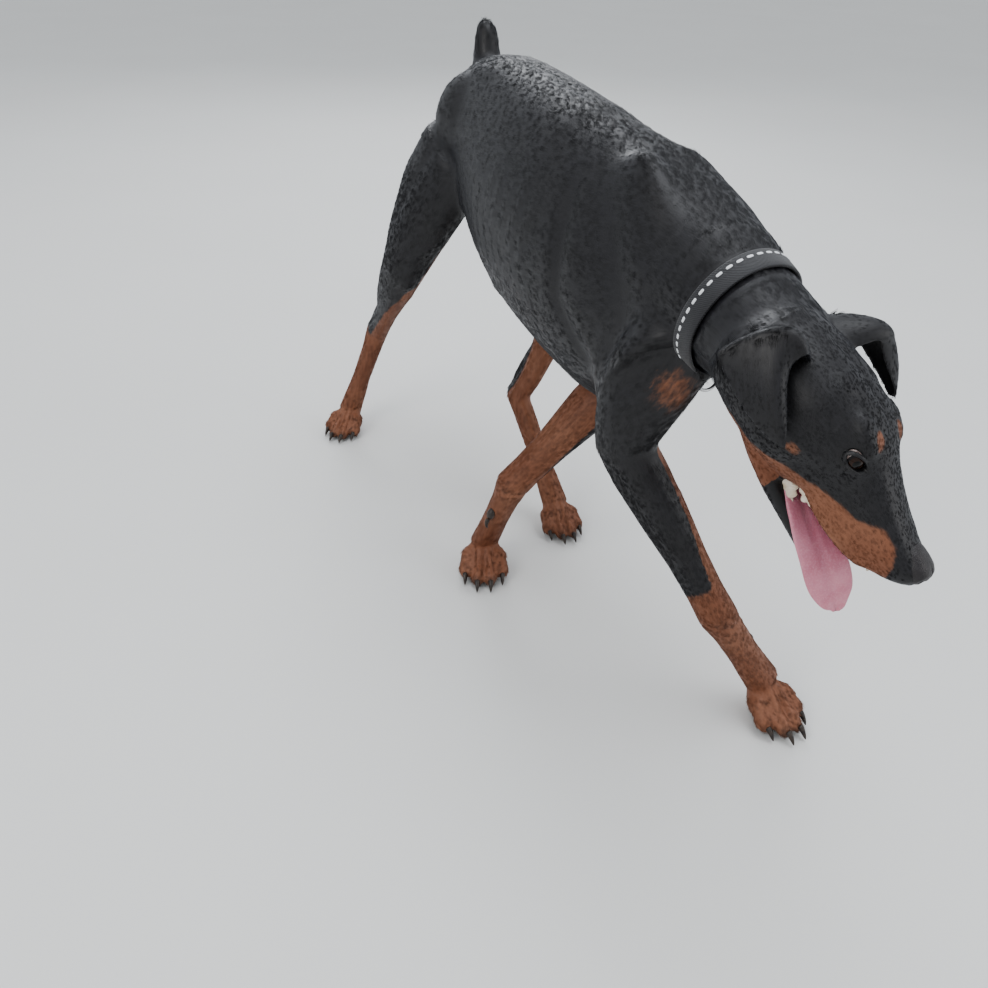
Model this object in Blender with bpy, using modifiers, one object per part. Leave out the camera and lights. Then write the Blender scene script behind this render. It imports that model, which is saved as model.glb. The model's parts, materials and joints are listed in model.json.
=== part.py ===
"""A doberman pinscher as a still, life-size model: walking, head low, mouth open, tongue out, with its collar.

Metres, +Z up, floor at z = 0. The dog heads towards -Y, its left side is +X, and the origin lies on the
floor under the middle of its bounding box. One fused body is shaped from sections and muscles, then parted
into head, neck, torso, tail and legs.
"""
import math

import bmesh
import bpy
import numpy as np
from mathutils import Matrix, Vector
from mathutils.bvhtree import BVHTree

# Driving sizes
MM = 0.001
HEAD_LENGTH = 0.246            # occiput to nose tip
CHEST_HALF_WIDTH = 0.096
GAPE = math.radians(20)        # how far the jaw is dropped
EYE_RADIUS = 0.0115
EAR_THICKNESS = 0.0032
COLLAR_WIDTH = 0.025
COLLAR_THICKNESS = 0.0035
GAP = 0.0003                   # kept between touching pieces
VOXEL = 0.0032                 # grain of the fused body

# Triangles left in each zone of the fused body
BODY_TRIANGLES = 3200
HEAD_TRIANGLES = 1900
PAW_TRIANGLES = 2150

UP = Vector((0, 0, 1))

# Joints of the stride, in millimetres from the floor below the withers' middle line
JOINTS = {
    "withers": (3, -201, 633),
    "croup": (-4, 181, 652),
    "tail_base": (10, 300, 626),
    "shoulder_blade_left": (38, -185, 608),
    "shoulder_left": (86, -236, 446),
    "elbow_left": (52, -105, 338),
    "wrist_left": (-87, -62, 162),
    "forepaw_left": (-110, -27, 30),
    "shoulder_blade_right": (-40, -212, 618),
    "shoulder_right": (-54, -325, 462),
    "elbow_right": (-60, -282, 345),
    "wrist_right": (30, -380, 155),
    "forepaw_right": (107, -410, 31),
    "hip_left": (55, 231, 520),
    "knee_left": (84, 108, 373),
    "hock_left": (15, 147, 175),
    "hindpaw_left": (39, 34, 27),
    "hip_right": (-55, 240, 528),
    "knee_right": (-123, 291, 340),
    "hock_right": (-129, 415, 192),
    "hindpaw_right": (-186, 432, 27),
}

# Where each paw's toes point, seen from above
PAW_HEADINGS = {
    "forepaw_left": (-0.36, -0.93),
    "forepaw_right": (0.13, -0.99),
    "hindpaw_left": (-0.05, -1.0),
    "hindpaw_right": (-0.66, -0.75),
}


def joint(name):
    return Vector(JOINTS[name]) * MM


# The head's own frame: the occiput is its origin, -Y runs to the nose and +Z is the top of the skull
OCCIPUT = Vector((-22, -462, 570)) * MM
HEAD_FORWARD = Vector((0.26, -0.75, -0.61)).normalized()
HEAD_LEFT = Vector((0.90, 0.41, -0.11))


def head_frame():
    left = (HEAD_LEFT - HEAD_FORWARD * HEAD_LEFT.dot(HEAD_FORWARD)).normalized()
    top = left.cross(-HEAD_FORWARD)
    turn = Matrix((left, -HEAD_FORWARD, top)).transposed().to_4x4()
    return Matrix.Translation(OCCIPUT) @ turn


HEAD = head_frame()
JAW_HINGE = Vector((0, -45, -62)) * MM
JAW = HEAD @ Matrix.Translation(JAW_HINGE) @ Matrix.Rotation(GAPE, 4, "X") @ Matrix.Translation(-JAW_HINGE)


# Mesh helpers

def new_object(name, mesh, collection):
    made = bpy.data.objects.new(name, mesh)
    collection.objects.link(made)
    return made


def evaluated_mesh(source):
    graph = bpy.context.evaluated_depsgraph_get()
    graph.update()
    return bpy.data.meshes.new_from_object(source.evaluated_get(graph))


def apply_modifiers(source):
    """Bakes an object's modifiers into its mesh."""
    baked = evaluated_mesh(source)
    source.modifiers.clear()
    old = source.data
    source.data = baked
    bpy.data.meshes.remove(old)


def section(centre, side, upward, half_width, rise, drop, top_power=2.0, low_power=2.0, sides=24):
    """One ring of a loft: a superellipse, with its own height above and below its centre."""
    ring = []
    for step in range(sides):
        angle = 2 * math.pi * step / sides
        cosine = math.cos(angle)
        sine = math.sin(angle)
        power = 2 / (top_power if sine >= 0 else low_power)
        across = half_width * math.copysign(abs(cosine) ** power, cosine)
        height = (rise if sine >= 0 else drop) * math.copysign(abs(sine) ** power, sine)
        ring.append(centre + side * across + upward * height)
    return ring


def loft(mesh, rings):
    """Adds a closed skin through rings of equal count, with a fan at each end."""
    rows = [[mesh.verts.new(point) for point in ring] for ring in rings]
    count = len(rows[0])
    for first, second in zip(rows, rows[1:]):
        for step in range(count):
            after = (step + 1) % count
            mesh.faces.new((first[step], first[after], second[after], second[step]))
    for row, turned in ((rows[0], True), (rows[-1], False)):
        middle = mesh.verts.new(sum((vert.co for vert in row), Vector()) / count)
        for step in range(count):
            after = (step + 1) % count
            corners = (row[step], row[after], middle)
            mesh.faces.new(corners[::-1] if turned else corners)


def muscle(mesh, start, end, half_width, half_depth, side, overlap=1.15, segments=20):
    """Adds an ellipsoid from start to end, half_width along side and half_depth across both."""
    axis = end - start
    along = axis.normalized()
    across = (side - along * side.dot(along)).normalized()
    deep = along.cross(across)
    turn = Matrix((across, deep, along)).transposed().to_4x4()
    stretch = Matrix.Diagonal((half_width, half_depth, axis.length / 2 * overlap, 1))
    place = Matrix.Translation((start + end) / 2) @ turn @ stretch
    bmesh.ops.create_uvsphere(mesh, u_segments=segments, v_segments=segments * 2 // 3, radius=1, matrix=place)


def limb(mesh, rows, side):
    """Lofts a limb through rows of (point, half width along side, half depth)."""
    rings = []
    for number, (point, half_width, half_depth) in enumerate(rows):
        before = rows[max(number - 1, 0)][0]
        after = rows[min(number + 1, len(rows) - 1)][0]
        along = (after - before).normalized()
        across = (side - along * side.dot(along)).normalized()
        deep = along.cross(across)
        rings.append(section(point, across, deep, half_width, half_depth, half_depth, sides=20))
    loft(mesh, rings)


def stations(segments):
    """Turns (start, end, ((share, width, depth, shift), ...)) into limb rows, shifted along a vector."""
    rows = []
    for start, end, back, marks in segments:
        for share, half_width, half_depth, shift in marks:
            point = start.lerp(end, share) + back * (shift * MM)
            rows.append((point, half_width * MM, half_depth * MM))
    return rows


# Trunk, neck and head

# y, x of the middle line, turn in degrees, top, widest height, bottom, share of chest width, squareness low
TRUNK = (
    (-348, 40, 16, 490, 460, 442, 0.34, 2.0),
    (-328, 35, 16, 535, 466, 424, 0.64, 1.9),
    (-290, 25, 15, 580, 470, 398, 0.88, 1.8),
    (-240, 12, 14, 612, 472, 352, 0.95, 1.7),
    (-190, 1, 12, 630, 478, 326, 0.98, 1.7),
    (-130, -7, 9, 638, 485, 325, 1.00, 1.75),
    (-60, -10, 5, 646, 492, 334, 1.02, 1.8),
    (10, -10, 1, 652, 500, 346, 1.00, 1.9),
    (70, -8, -1, 656, 506, 357, 0.96, 2.0),
    (120, -6, -3, 658, 516, 376, 0.90, 2.1),
    (165, -4, -4, 658, 532, 399, 0.84, 2.1),
    (215, 0, -4, 652, 546, 423, 0.80, 2.0),
    (262, 5, -4, 642, 560, 468, 0.70, 2.0),
    (300, 11, -4, 626, 568, 508, 0.50, 2.0),
    (322, 13, -4, 604, 574, 540, 0.28, 2.0),
)

# centre, half width, rise, drop along the neck, from inside the chest to inside the skull
NECK = (
    ((8, -205, 515), 86, 108, 112),
    ((4, -265, 522), 80, 88, 84),
    ((-3, -325, 521), 66, 72, 66),
    ((-12, -385, 515), 57, 60, 54),
    ((-18, -435, 510), 53, 53, 48),
    ((-20, -475, 492), 50, 46, 46),
)

# In thousandths of the head's length: y, top, bottom, half width, squareness above and below
SKULL = (
    (60, -150, -330, 115, 2.0, 2.0),
    (10, -30, -405, 180, 2.1, 2.1),
    (-75, 0, -428, 212, 2.2, 2.2),
    (-190, 18, -436, 228, 2.3, 2.2),
    (-300, 24, -426, 226, 2.3, 2.2),
    (-400, 20, -408, 204, 2.3, 2.4),
    (-450, 14, -396, 182, 2.3, 2.6),
    (-500, 0, -356, 166, 2.3, 3.2),
    (-547, -24, -346, 146, 2.3, 3.8),
    (-600, -56, -350, 130, 2.3, 4.2),
    (-670, -90, -356, 121, 2.3, 4.4),
    (-756, -122, -356, 113, 2.3, 4.2),
    (-841, -146, -332, 104, 2.3, 3.6),
    (-906, -158, -298, 92, 2.3, 3.0),
    (-950, -172, -266, 72, 2.2, 2.6),
    (-972, -190, -240, 44, 2.0, 2.0),
)

LOWER_JAW = (
    (-110, -270, -395, 130, 2.0, 2.0),
    (-200, -285, -407, 160, 2.2, 2.1),
    (-350, -292, -404, 150, 2.4, 2.1),
    (-500, -288, -390, 122, 2.6, 2.1),
    (-620, -278, -364, 100, 2.6, 2.1),
    (-720, -270, -342, 84, 2.6, 2.1),
    (-790, -264, -332, 68, 2.4, 2.1),
    (-825, -270, -314, 44, 2.0, 2.0),
)


def add_trunk(mesh):
    rings = []
    for y, x, turn, top, middle, bottom, share, low_power in TRUNK:
        angle = math.radians(turn)
        side = Vector((math.cos(angle), math.sin(angle), 0))
        centre = Vector((x, y, middle)) * MM
        rings.append(section(centre, side, UP, CHEST_HALF_WIDTH * share, (top - middle) * MM,
                             (middle - bottom) * MM, 2.1, low_power, 32))
    loft(mesh, rings[::-1])


def add_neck(mesh):
    rings = []
    centres = [Vector(row[0]) * MM for row in NECK]
    for number, (_, half_width, rise, drop) in enumerate(NECK):
        before = centres[max(number - 1, 0)]
        after = centres[min(number + 1, len(NECK) - 1)]
        along = (after - before).normalized()
        side = along.cross(UP).normalized() * -1
        upward = along.cross(side)
        rings.append(section(centres[number], side, upward, half_width * MM, rise * MM, drop * MM, 2.1, 2.0))
    loft(mesh, rings)


def add_head_loft(mesh, rows, frame):
    side = frame.to_3x3() @ Vector((1, 0, 0))
    upward = frame.to_3x3() @ UP
    unit = HEAD_LENGTH / 1000
    rings = []
    for y, top, bottom, half_width, top_power, low_power in rows:
        middle = (top + bottom) / 2
        centre = frame @ (Vector((0, y, middle)) * unit)
        half_height = (top - middle) * unit
        rings.append(section(centre, side, upward, half_width * unit, half_height, half_height,
                             top_power, low_power))
    loft(mesh, rings[::-1])


def add_head(mesh):
    add_head_loft(mesh, SKULL, HEAD)
    add_head_loft(mesh, LOWER_JAW, JAW)
    side = HEAD.to_3x3() @ Vector((1, 0, 0))
    for hand in (-1, 1):
        brow_start = HEAD @ (Vector((23 * hand, -92, -5)) * MM)
        brow_end = HEAD @ (Vector((26 * hand, -132, -13)) * MM)
        muscle(mesh, brow_start, brow_end, 0.012, 0.009, side)
        cheek_start = HEAD @ (Vector((40 * hand, -34, -60)) * MM)
        cheek_end = HEAD @ (Vector((43 * hand, -100, -56)) * MM)
        muscle(mesh, cheek_start, cheek_end, 0.017, 0.032, side)
        flew_start = HEAD @ (Vector((29 * hand, -128, -76)) * MM)
        flew_end = HEAD @ (Vector((23 * hand, -206, -76)) * MM)
        muscle(mesh, flew_start, flew_end, 0.0055, 0.0125, side, 1.1)
        lid_start = HEAD @ (Vector((32 * hand, -112, -30)) * MM)
        lid_end = HEAD @ (Vector((25 * hand, -142, -32)) * MM)
        muscle(mesh, lid_start, lid_end, 0.0125, 0.0145, side)


# Legs

def side_of(turn):
    angle = math.radians(turn)
    return Vector((math.cos(angle), math.sin(angle), 0))


def foreleg_rows(hand):
    shoulder = joint("shoulder_" + hand)
    elbow = joint("elbow_" + hand)
    wrist = joint("wrist_" + hand)
    paw = joint("forepaw_" + hand)
    heading = Vector(PAW_HEADINGS["forepaw_" + hand] + (0,)).normalized()
    heel = paw - heading * 0.012 + UP * 0.010
    back = -heading
    return stations((
        (shoulder, elbow, back, ((0.0, 42, 50, 4), (0.5, 41, 50, 10), (0.85, 34, 40, 8))),
        (elbow, wrist, back, ((0.02, 31, 37, 6), (0.2, 30, 35, 4), (0.42, 27, 31, 3), (0.66, 23, 25, 2),
                              (0.86, 22, 23, 2), (1.0, 23.5, 24, 2))),
        (wrist, heel, back, ((0.22, 21, 19, 0), (0.55, 20.5, 17.5, 0), (1.0, 24, 18, 0))),
    ))


def hindleg_rows(hand):
    hip = joint("hip_" + hand)
    knee = joint("knee_" + hand)
    hock = joint("hock_" + hand)
    paw = joint("hindpaw_" + hand)
    heading = Vector(PAW_HEADINGS["hindpaw_" + hand] + (0,)).normalized()
    heel = paw - heading * 0.012 + UP * 0.008
    back = Vector((0, 1, 0))
    return stations((
        (hip, knee, back, ((0.0, 46, 74, 4), (0.35, 47, 76, 12), (0.7, 41, 62, 12), (0.94, 34, 44, 4))),
        (knee, hock, back, ((0.16, 30, 39, 5), (0.36, 25, 32, 3), (0.6, 18.5, 25, -1), (0.82, 15.5, 22, -3),
                            (1.0, 18, 25, 3))),
        (hock, heel, back, ((0.22, 16.5, 19.5, 0), (0.55, 16, 16.5, 0), (1.0, 21, 16, 0))),
    ))


def add_foreleg(mesh, hand):
    sign = 1 if hand == "left" else -1
    side = side_of(14)
    limb(mesh, foreleg_rows(hand), side)
    blade = joint("shoulder_blade_" + hand)
    shoulder = joint("shoulder_" + hand)
    elbow = joint("elbow_" + hand)
    wrist = joint("wrist_" + hand)
    back = Vector((0.1, 1, 0)).normalized()
    outward = side * sign
    muscle(mesh, blade, shoulder, 0.024, 0.050, side, 1.25)
    muscle(mesh, blade.lerp(shoulder, 0.45) + back * 0.075 + outward * 0.010, elbow + back * 0.006,
           0.027, 0.044, side, 1.1)
    muscle(mesh, shoulder + UP * 0.045, shoulder - UP * 0.04 + back * 0.02, 0.036, 0.040, side)
    muscle(mesh, elbow + back * 0.030 + UP * 0.020, elbow + back * 0.022 - UP * 0.012, 0.014, 0.014, side)
    muscle(mesh, elbow, elbow.lerp(wrist, 0.5), 0.026, 0.032, side, 1.1)


def add_hindleg(mesh, hand):
    sign = 1 if hand == "left" else -1
    side = side_of(-4)
    limb(mesh, hindleg_rows(hand), side)
    hip = joint("hip_" + hand)
    knee = joint("knee_" + hand)
    hock = joint("hock_" + hand)
    back = Vector((0, 1, 0))
    outward = side * sign
    rump = joint("croup") + outward * 0.040 - UP * 0.045
    muscle(mesh, rump, hip + back * 0.03, 0.038, 0.060, side, 1.15)
    seat = joint("tail_base") + outward * 0.036 - UP * 0.050
    muscle(mesh, seat, knee.lerp(hock, 0.28) + back * 0.012, 0.032, 0.044, side, 1.05)
    muscle(mesh, hip - back * 0.028, knee + back * 0.004, 0.038, 0.046, side, 1.12)
    muscle(mesh, knee - back * 0.020 + UP * 0.016, knee - back * 0.022 - UP * 0.022, 0.020, 0.020, side)
    heel = hock + (hock - knee).normalized() * 0.002 + back * 0.026 + UP * 0.010
    muscle(mesh, heel, hock + back * 0.004 - UP * 0.012, 0.0115, 0.0125, side, 1.3)
    muscle(mesh, knee.lerp(hock, 0.45) + back * 0.020, heel, 0.0075, 0.009, side, 1.1)


# lateral place, reach ahead of the paw's middle, of each toe
TOES = ((-25, 26), (-9, 41), (9, 41), (25, 26))


def paw_frame(name):
    heading = Vector(PAW_HEADINGS[name] + (0,)).normalized()
    left = UP.cross(heading)
    middle = joint(name)
    middle.z = 0
    return Matrix.Translation(middle) @ Matrix((left, -heading, UP)).transposed().to_4x4()


def add_paw(mesh, name):
    frame = paw_frame(name)
    side = frame.to_3x3() @ Vector((1, 0, 0))
    size = 1.0 if name.startswith("fore") else 0.92

    def spot(x, y, z):
        return frame @ (Vector((x * size, -y * size, z * size)) * MM)

    muscle(mesh, spot(0, -22, 30), spot(0, 18, 26), 0.027 * size, 0.019 * size, side, 1.2)
    muscle(mesh, spot(0, -16, 9), spot(0, 8, 8), 0.021 * size, 0.011 * size, side, 1.2)
    for across, reach in TOES:
        muscle(mesh, spot(across * 0.80, -8, 29), spot(across * 1.02, reach * 0.62, 24),
               0.0112 * size, 0.0125 * size, side, 1.35)
        muscle(mesh, spot(across * 1.0, reach * 0.5, 24), spot(across * 1.06, reach * 1.10, 9),
               0.0108 * size, 0.0120 * size, side, 1.45)


# Building the fused body

def vertex_array(mesh):
    flat = np.empty(len(mesh.vertices) * 3)
    mesh.vertices.foreach_get("co", flat)
    return flat.reshape(-1, 3)


def relax(mesh, weights, rounds):
    """Moves each vertex towards the mean of its neighbours, by its own weight."""
    points = vertex_array(mesh)
    edges = np.empty(len(mesh.edges) * 2, dtype=np.int64)
    mesh.edges.foreach_get("vertices", edges)
    first, second = edges.reshape(-1, 2).T
    count = np.bincount(edges, minlength=len(points))[:, None]
    for _ in range(rounds):
        total = np.zeros_like(points)
        for axis in range(3):
            total[:, axis] = np.bincount(first, points[second, axis], len(points))
            total[:, axis] += np.bincount(second, points[first, axis], len(points))
        points += (total / count - points) * weights[:, None]
    mesh.vertices.foreach_set("co", points.ravel())
    mesh.update()


def zones(points):
    """Masks of the vertices that belong to the head and to the paws."""
    local = (points - np.array(OCCIPUT)) @ np.array(HEAD.to_3x3())
    head = (local[:, 1] < 0.0) & (np.abs(local[:, 0]) < 0.11) & (np.abs(local[:, 2] + 0.08) < 0.16)
    paws = (points[:, 2] < 0.075) & ~head
    return head, paws


def thin(flesh, mask, triangles):
    """Decimates only the vertices of one zone, to about the given count of triangles."""
    total = len(flesh.data.polygons)
    chosen = np.array([mask[face.vertices[0]] for face in flesh.data.polygons])
    kept = total - int(chosen.sum())
    group = flesh.vertex_groups.new(name="zone")
    group.add([int(index) for index in np.flatnonzero(mask)], 1.0, "REPLACE")
    decimate = flesh.modifiers.new("thin", "DECIMATE")
    decimate.vertex_group = group.name
    decimate.vertex_group_factor = 1
    decimate.ratio = (kept + triangles) / total
    apply_modifiers(flesh)
    flesh.vertex_groups.clear()


def fuse_body(collection):
    cage = bmesh.new()
    add_trunk(cage)
    add_neck(cage)
    add_head(cage)
    for hand in ("left", "right"):
        add_foreleg(cage, hand)
        add_hindleg(cage, hand)
    for name in PAW_HEADINGS:
        add_paw(cage, name)
    add_tail(cage)
    mesh = bpy.data.meshes.new("flesh")
    cage.to_mesh(mesh)
    cage.free()
    flesh = new_object("flesh", mesh, collection)
    remesh = flesh.modifiers.new("fuse", "REMESH")
    remesh.mode = "VOXEL"
    remesh.voxel_size = VOXEL
    apply_modifiers(flesh)

    points = vertex_array(flesh.data)
    head, paws = zones(points)
    legs = (points[:, 2] < 0.30) & ~head & ~paws
    weights = np.where(paws, 0.25, np.where(head, 0.35, np.where(legs, 0.45, 0.6)))
    relax(flesh.data, weights, 12)
    relax(flesh.data, np.where(head | paws | legs, 0.0, 0.6), 18)

    triangulate = flesh.modifiers.new("triangles", "TRIANGULATE")
    triangulate.quad_method = "SHORTEST_DIAGONAL"
    apply_modifiers(flesh)
    head, paws = zones(vertex_array(flesh.data))
    thin(flesh, ~(head | paws), BODY_TRIANGLES)
    head, paws = zones(vertex_array(flesh.data))
    thin(flesh, head, HEAD_TRIANGLES)
    head, paws = zones(vertex_array(flesh.data))
    thin(flesh, paws, PAW_TRIANGLES)
    return flesh


def add_tail(mesh):
    base = joint("tail_base")
    rows = (
        (base + Vector((0, -0.006, -0.045)), 0.026, 0.028),
        (base + Vector((0, 0.000, -0.010)), 0.023, 0.025),
        (base + Vector((0, 0.004, 0.018)), 0.0195, 0.021),
        (base + Vector((0, 0.006, 0.034)), 0.0180, 0.0190),
        (base + Vector((0, 0.008, 0.048)), 0.015, 0.016),
        (base + Vector((0, 0.009, 0.055)), 0.008, 0.008),
    )
    limb(mesh, rows, Vector((1, 0, 0)))


# Cutting and joining

def turn_outward(shape):
    bmesh.ops.recalc_face_normals(shape, faces=shape.faces)
    if shape.calc_volume(signed=True) < 0:
        bmesh.ops.reverse_faces(shape, faces=shape.faces)


def mesh_object(name, shape, collection):
    """Turns a filled bmesh into an object and frees it."""
    turn_outward(shape)
    bmesh.ops.triangulate(shape, faces=shape.faces)
    mesh = bpy.data.meshes.new(name)
    shape.to_mesh(mesh)
    shape.free()
    return new_object(name, mesh, collection)


def combine(target, tool, operation, solver="EXACT"):
    """Runs a Boolean and removes its tool; MANIFOLD is for the cuts that EXACT loses on relaxed flesh."""
    cut = target.modifiers.new(operation.lower(), "BOOLEAN")
    cut.operation = operation
    cut.solver = solver
    cut.object = tool
    apply_modifiers(target)
    bpy.data.objects.remove(tool, do_unlink=True)


def duplicate(source, name):
    made = source.copy()
    made.data = source.data.copy()
    made.name = name
    source.users_collection[0].objects.link(made)
    return made


def grown(source, margin=GAP):
    """A copy of a piece, swollen along its normals, that cuts room for it in a neighbour."""
    copy = duplicate(source, source.name + "_room")
    swell = copy.modifiers.new("swell", "DISPLACE")
    swell.strength = margin
    swell.mid_level = 0
    apply_modifiers(copy)
    return copy


def islands(shape):
    """Connected sets of vertices of a bmesh."""
    seen = set()
    found = []
    for start in shape.verts:
        if start in seen:
            continue
        stack = [start]
        seen.add(start)
        part = []
        while stack:
            vert = stack.pop()
            part.append(vert)
            for edge in vert.link_edges:
                other = edge.other_vert(vert)
                if other not in seen:
                    seen.add(other)
                    stack.append(other)
        found.append(part)
    return found


def keep_islands(target, wanted):
    """Keeps the islands that wanted() picks from the list of vertex sets."""
    shape = bmesh.new()
    shape.from_mesh(target.data)
    bmesh.ops.remove_doubles(shape, verts=shape.verts, dist=1e-6)
    parts = islands(shape)
    chosen = {vert for part in wanted(parts) for vert in part}
    bmesh.ops.delete(shape, geom=[vert for vert in shape.verts if vert not in chosen], context="VERTS")
    bmesh.ops.triangulate(shape, faces=shape.faces)
    shape.to_mesh(target.data)
    shape.free()


def keep_largest(target):
    keep_islands(target, lambda parts: [max(parts, key=len)])


def split_off(target, name, point):
    """Takes the island whose vertex lies nearest to point out of target, as a node of its own."""
    def distance(part):
        return min((vert.co - point).length for vert in part)

    made = duplicate(target, name)
    keep_islands(made, lambda parts: [min(parts, key=distance)])
    keep_islands(target, lambda parts: [part for part in parts if part is not min(parts, key=distance)])
    return made


def thin_cut(target, centre, normal, radius):
    """Saws a slot of the usual gap through target with a round plate."""
    plate = bmesh.new()
    turn = normal.to_track_quat("Z", "Y").to_matrix().to_4x4()
    bmesh.ops.create_cone(plate, cap_ends=True, segments=24, radius1=radius, radius2=radius,
                          depth=GAP, matrix=Matrix.Translation(centre) @ turn)
    combine(target, mesh_object("plate", plate, target.users_collection[0]), "DIFFERENCE")


# Leg sleeves: rows of a loft that holds one leg from its root down, drawn wide where nothing else is near

SLEEVE_TOP = 0.42


def sleeve(name, rows, side, outward, reach, depth, collection):
    shape = bmesh.new()
    wide = []
    for point, half_width, half_depth in rows:
        low = min(max((SLEEVE_TOP - point.z) / SLEEVE_TOP * 4, 0), 1)
        inner = 0.007 + 0.014 * low
        shift = outward * ((reach - inner) / 2)
        wide.append((point + shift, half_width + (reach + inner) / 2, half_depth + depth + 0.010 * low))
    limb(shape, wide, side)
    return mesh_object(name, shape, collection)


def foot_room(name, collection):
    frame = paw_frame(name)
    shape = bmesh.new()
    bmesh.ops.create_uvsphere(shape, u_segments=20, v_segments=12, radius=0.074, matrix=frame)
    return mesh_object(name + "_room", shape, collection)


def part_leg(flesh, kind, hand, collection):
    """Parts one leg from the body: the leg is what lies inside its sleeve."""
    sign = 1 if hand == "left" else -1
    if kind == "foreleg":
        side = side_of(14)
        rows = foreleg_rows(hand)
        made_sleeve = sleeve("sleeve", rows, side, side * sign, 0.040, 0.014, collection)
        foot = foot_room("forepaw_" + hand, collection)
    else:
        side = side_of(-4)
        rows = hindleg_rows(hand)
        made_sleeve = sleeve("sleeve", rows, side, side * sign, 0.050, 0.032, collection)
        foot = foot_room("hindpaw_" + hand, collection)
    combine(made_sleeve, foot, "UNION")
    keep_largest(made_sleeve)
    leg = duplicate(flesh, kind + "_" + hand)
    room = grown(made_sleeve)
    combine(leg, made_sleeve, "INTERSECT")
    combine(flesh, room, "DIFFERENCE")
    keep_largest(leg)
    return leg


# Head pieces

def head_point(x, y, z):
    return HEAD @ (Vector((x, y, z)) * MM)


def head_side():
    return HEAD.to_3x3() @ Vector((1, 0, 0))


# x, y, z in millimetres of the head's frame, as if on the left: root, fold and flap from front edge to rear edge
EARS = {
    "left": {
        "root": ((31, -48, -16), (33, -24, -14), (30, 0, -32)),
        "fold": ((61, -55, 5), (81, -46, 9), (95, -16, -26)),
        "tip": (85, -99, -25),
        "edge": (97, -67, -28),
        "curl": 4,
    },
    "right": {
        "root": ((31, -48, -16), (33, -24, -14), (30, 0, -32)),
        "fold": ((62, -42, 5), (70, -14, 2), (88, -1, -44)),
        "tip": (78, -90, -47),
        "edge": (85, -49, -51),
        "curl": 11,
    },
}


def bend(first, middle, last, share):
    """A point of the quadratic curve that passes its middle point half way."""
    control = middle * 2 - (first + last) / 2
    return first * (1 - share) ** 2 + control * 2 * share * (1 - share) + last * share ** 2


def ear_point(hand, across, along):
    """A point of the ear's sheet; along runs from root (0) over the fold (0.36) to the tip (1)."""
    mirror = 1 if hand == "left" else -1
    marks = EARS[hand]
    root = bend(*(Vector(point) for point in marks["root"]), across)
    fold = bend(*(Vector(point) for point in marks["fold"]), across)
    tip = Vector(marks["tip"])
    edge = Vector(marks["edge"])
    fold_share = 0.36
    if along < fold_share:
        share = along / fold_share
        crown = (root + fold) / 2 + Vector((2, 2, 9)) * math.sin(math.pi * across * 0.8 + 0.3)
        spot = bend(root, crown, fold, share)
    else:
        share = (along - fold_share) / (1 - fold_share)
        blunt = Vector((0, 7, -6)) * (across - 0.5)
        belly = (edge - (Vector(marks["fold"][2]) + tip) / 2) * across ** 1.5
        puff = Vector((7, 0, 2)) * math.sin(math.pi * across)
        spot = fold.lerp(tip + blunt, share) + (belly + puff) * 4 * share * (1 - share)
        spot += Vector((0, 1, -0.4)) * (marks["curl"] * (1 - across) ** 2 * 6.75 * share * (1 - share) ** 2)
    return HEAD @ (Vector((spot.x * mirror, spot.y, spot.z)) * MM)


def make_ear(hand, collection):
    shape = bmesh.new()
    columns = 8
    rows = 12
    grid = [[shape.verts.new(ear_point(hand, i / columns, j / rows)) for i in range(columns + 1)]
            for j in range(rows + 1)]
    for lower, upper in zip(grid, grid[1:]):
        for i in range(columns):
            shape.faces.new((lower[i], lower[i + 1], upper[i + 1], upper[i]))
    mesh = bpy.data.meshes.new("ear")
    bmesh.ops.triangulate(shape, faces=shape.faces)
    shape.to_mesh(mesh)
    shape.free()
    ear = new_object("ear_" + hand, mesh, collection)
    wall = ear.modifiers.new("wall", "SOLIDIFY")
    wall.thickness = EAR_THICKNESS
    wall.offset = 0
    wall.use_even_offset = False
    apply_modifiers(ear)
    shape = bmesh.new()
    shape.from_mesh(ear.data)
    turn_outward(shape)
    bmesh.ops.triangulate(shape, faces=shape.faces)
    shape.to_mesh(ear.data)
    shape.free()
    return ear


EYE_CENTRE = (28.5, -123.5, -27)
GAZE_LEFT = (0.70, -0.66, 0.27)
LID_POINTS = 16
LID_HALF_WIDTH = math.radians(60)
LID_RISE = math.radians(30)
LID_DROP = math.radians(26)


def make_eye(hand, collection):
    sign = 1 if hand == "left" else -1
    shape = bmesh.new()
    centre = head_point(EYE_CENTRE[0] * sign, *EYE_CENTRE[1:])
    bmesh.ops.create_uvsphere(shape, u_segments=14, v_segments=9, radius=EYE_RADIUS,
                              matrix=Matrix.Translation(centre))
    return mesh_object("eye_" + hand, shape, collection)


def lid_ring(hand, reach, open_share):
    """Points of the almond between the lids, on a sphere round the eye's centre."""
    sign = 1 if hand == "left" else -1
    turn = HEAD.to_3x3()
    gaze = (turn @ Vector((GAZE_LEFT[0] * sign, GAZE_LEFT[1], GAZE_LEFT[2]))).normalized()
    slit = turn @ Vector((0.74 * sign, 0.62, 0.10))
    slit = (slit - gaze * slit.dot(gaze)).normalized()
    upward = gaze.cross(slit)
    if upward.dot(turn @ UP) < 0:
        upward.negate()
    centre = head_point(EYE_CENTRE[0] * sign, *EYE_CENTRE[1:])
    ring = []
    for step in range(LID_POINTS):
        angle = 2 * math.pi * step / LID_POINTS
        across = LID_HALF_WIDTH * open_share * math.cos(angle)
        height = LID_RISE if math.sin(angle) > 0 else LID_DROP
        lift = height * open_share * math.sin(angle) * abs(math.sin(angle)) ** 0.3
        way = gaze * (math.cos(across) * math.cos(lift)) + slit * math.sin(across) + upward * math.sin(lift)
        ring.append(centre + way.normalized() * reach)
    return centre, ring


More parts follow.
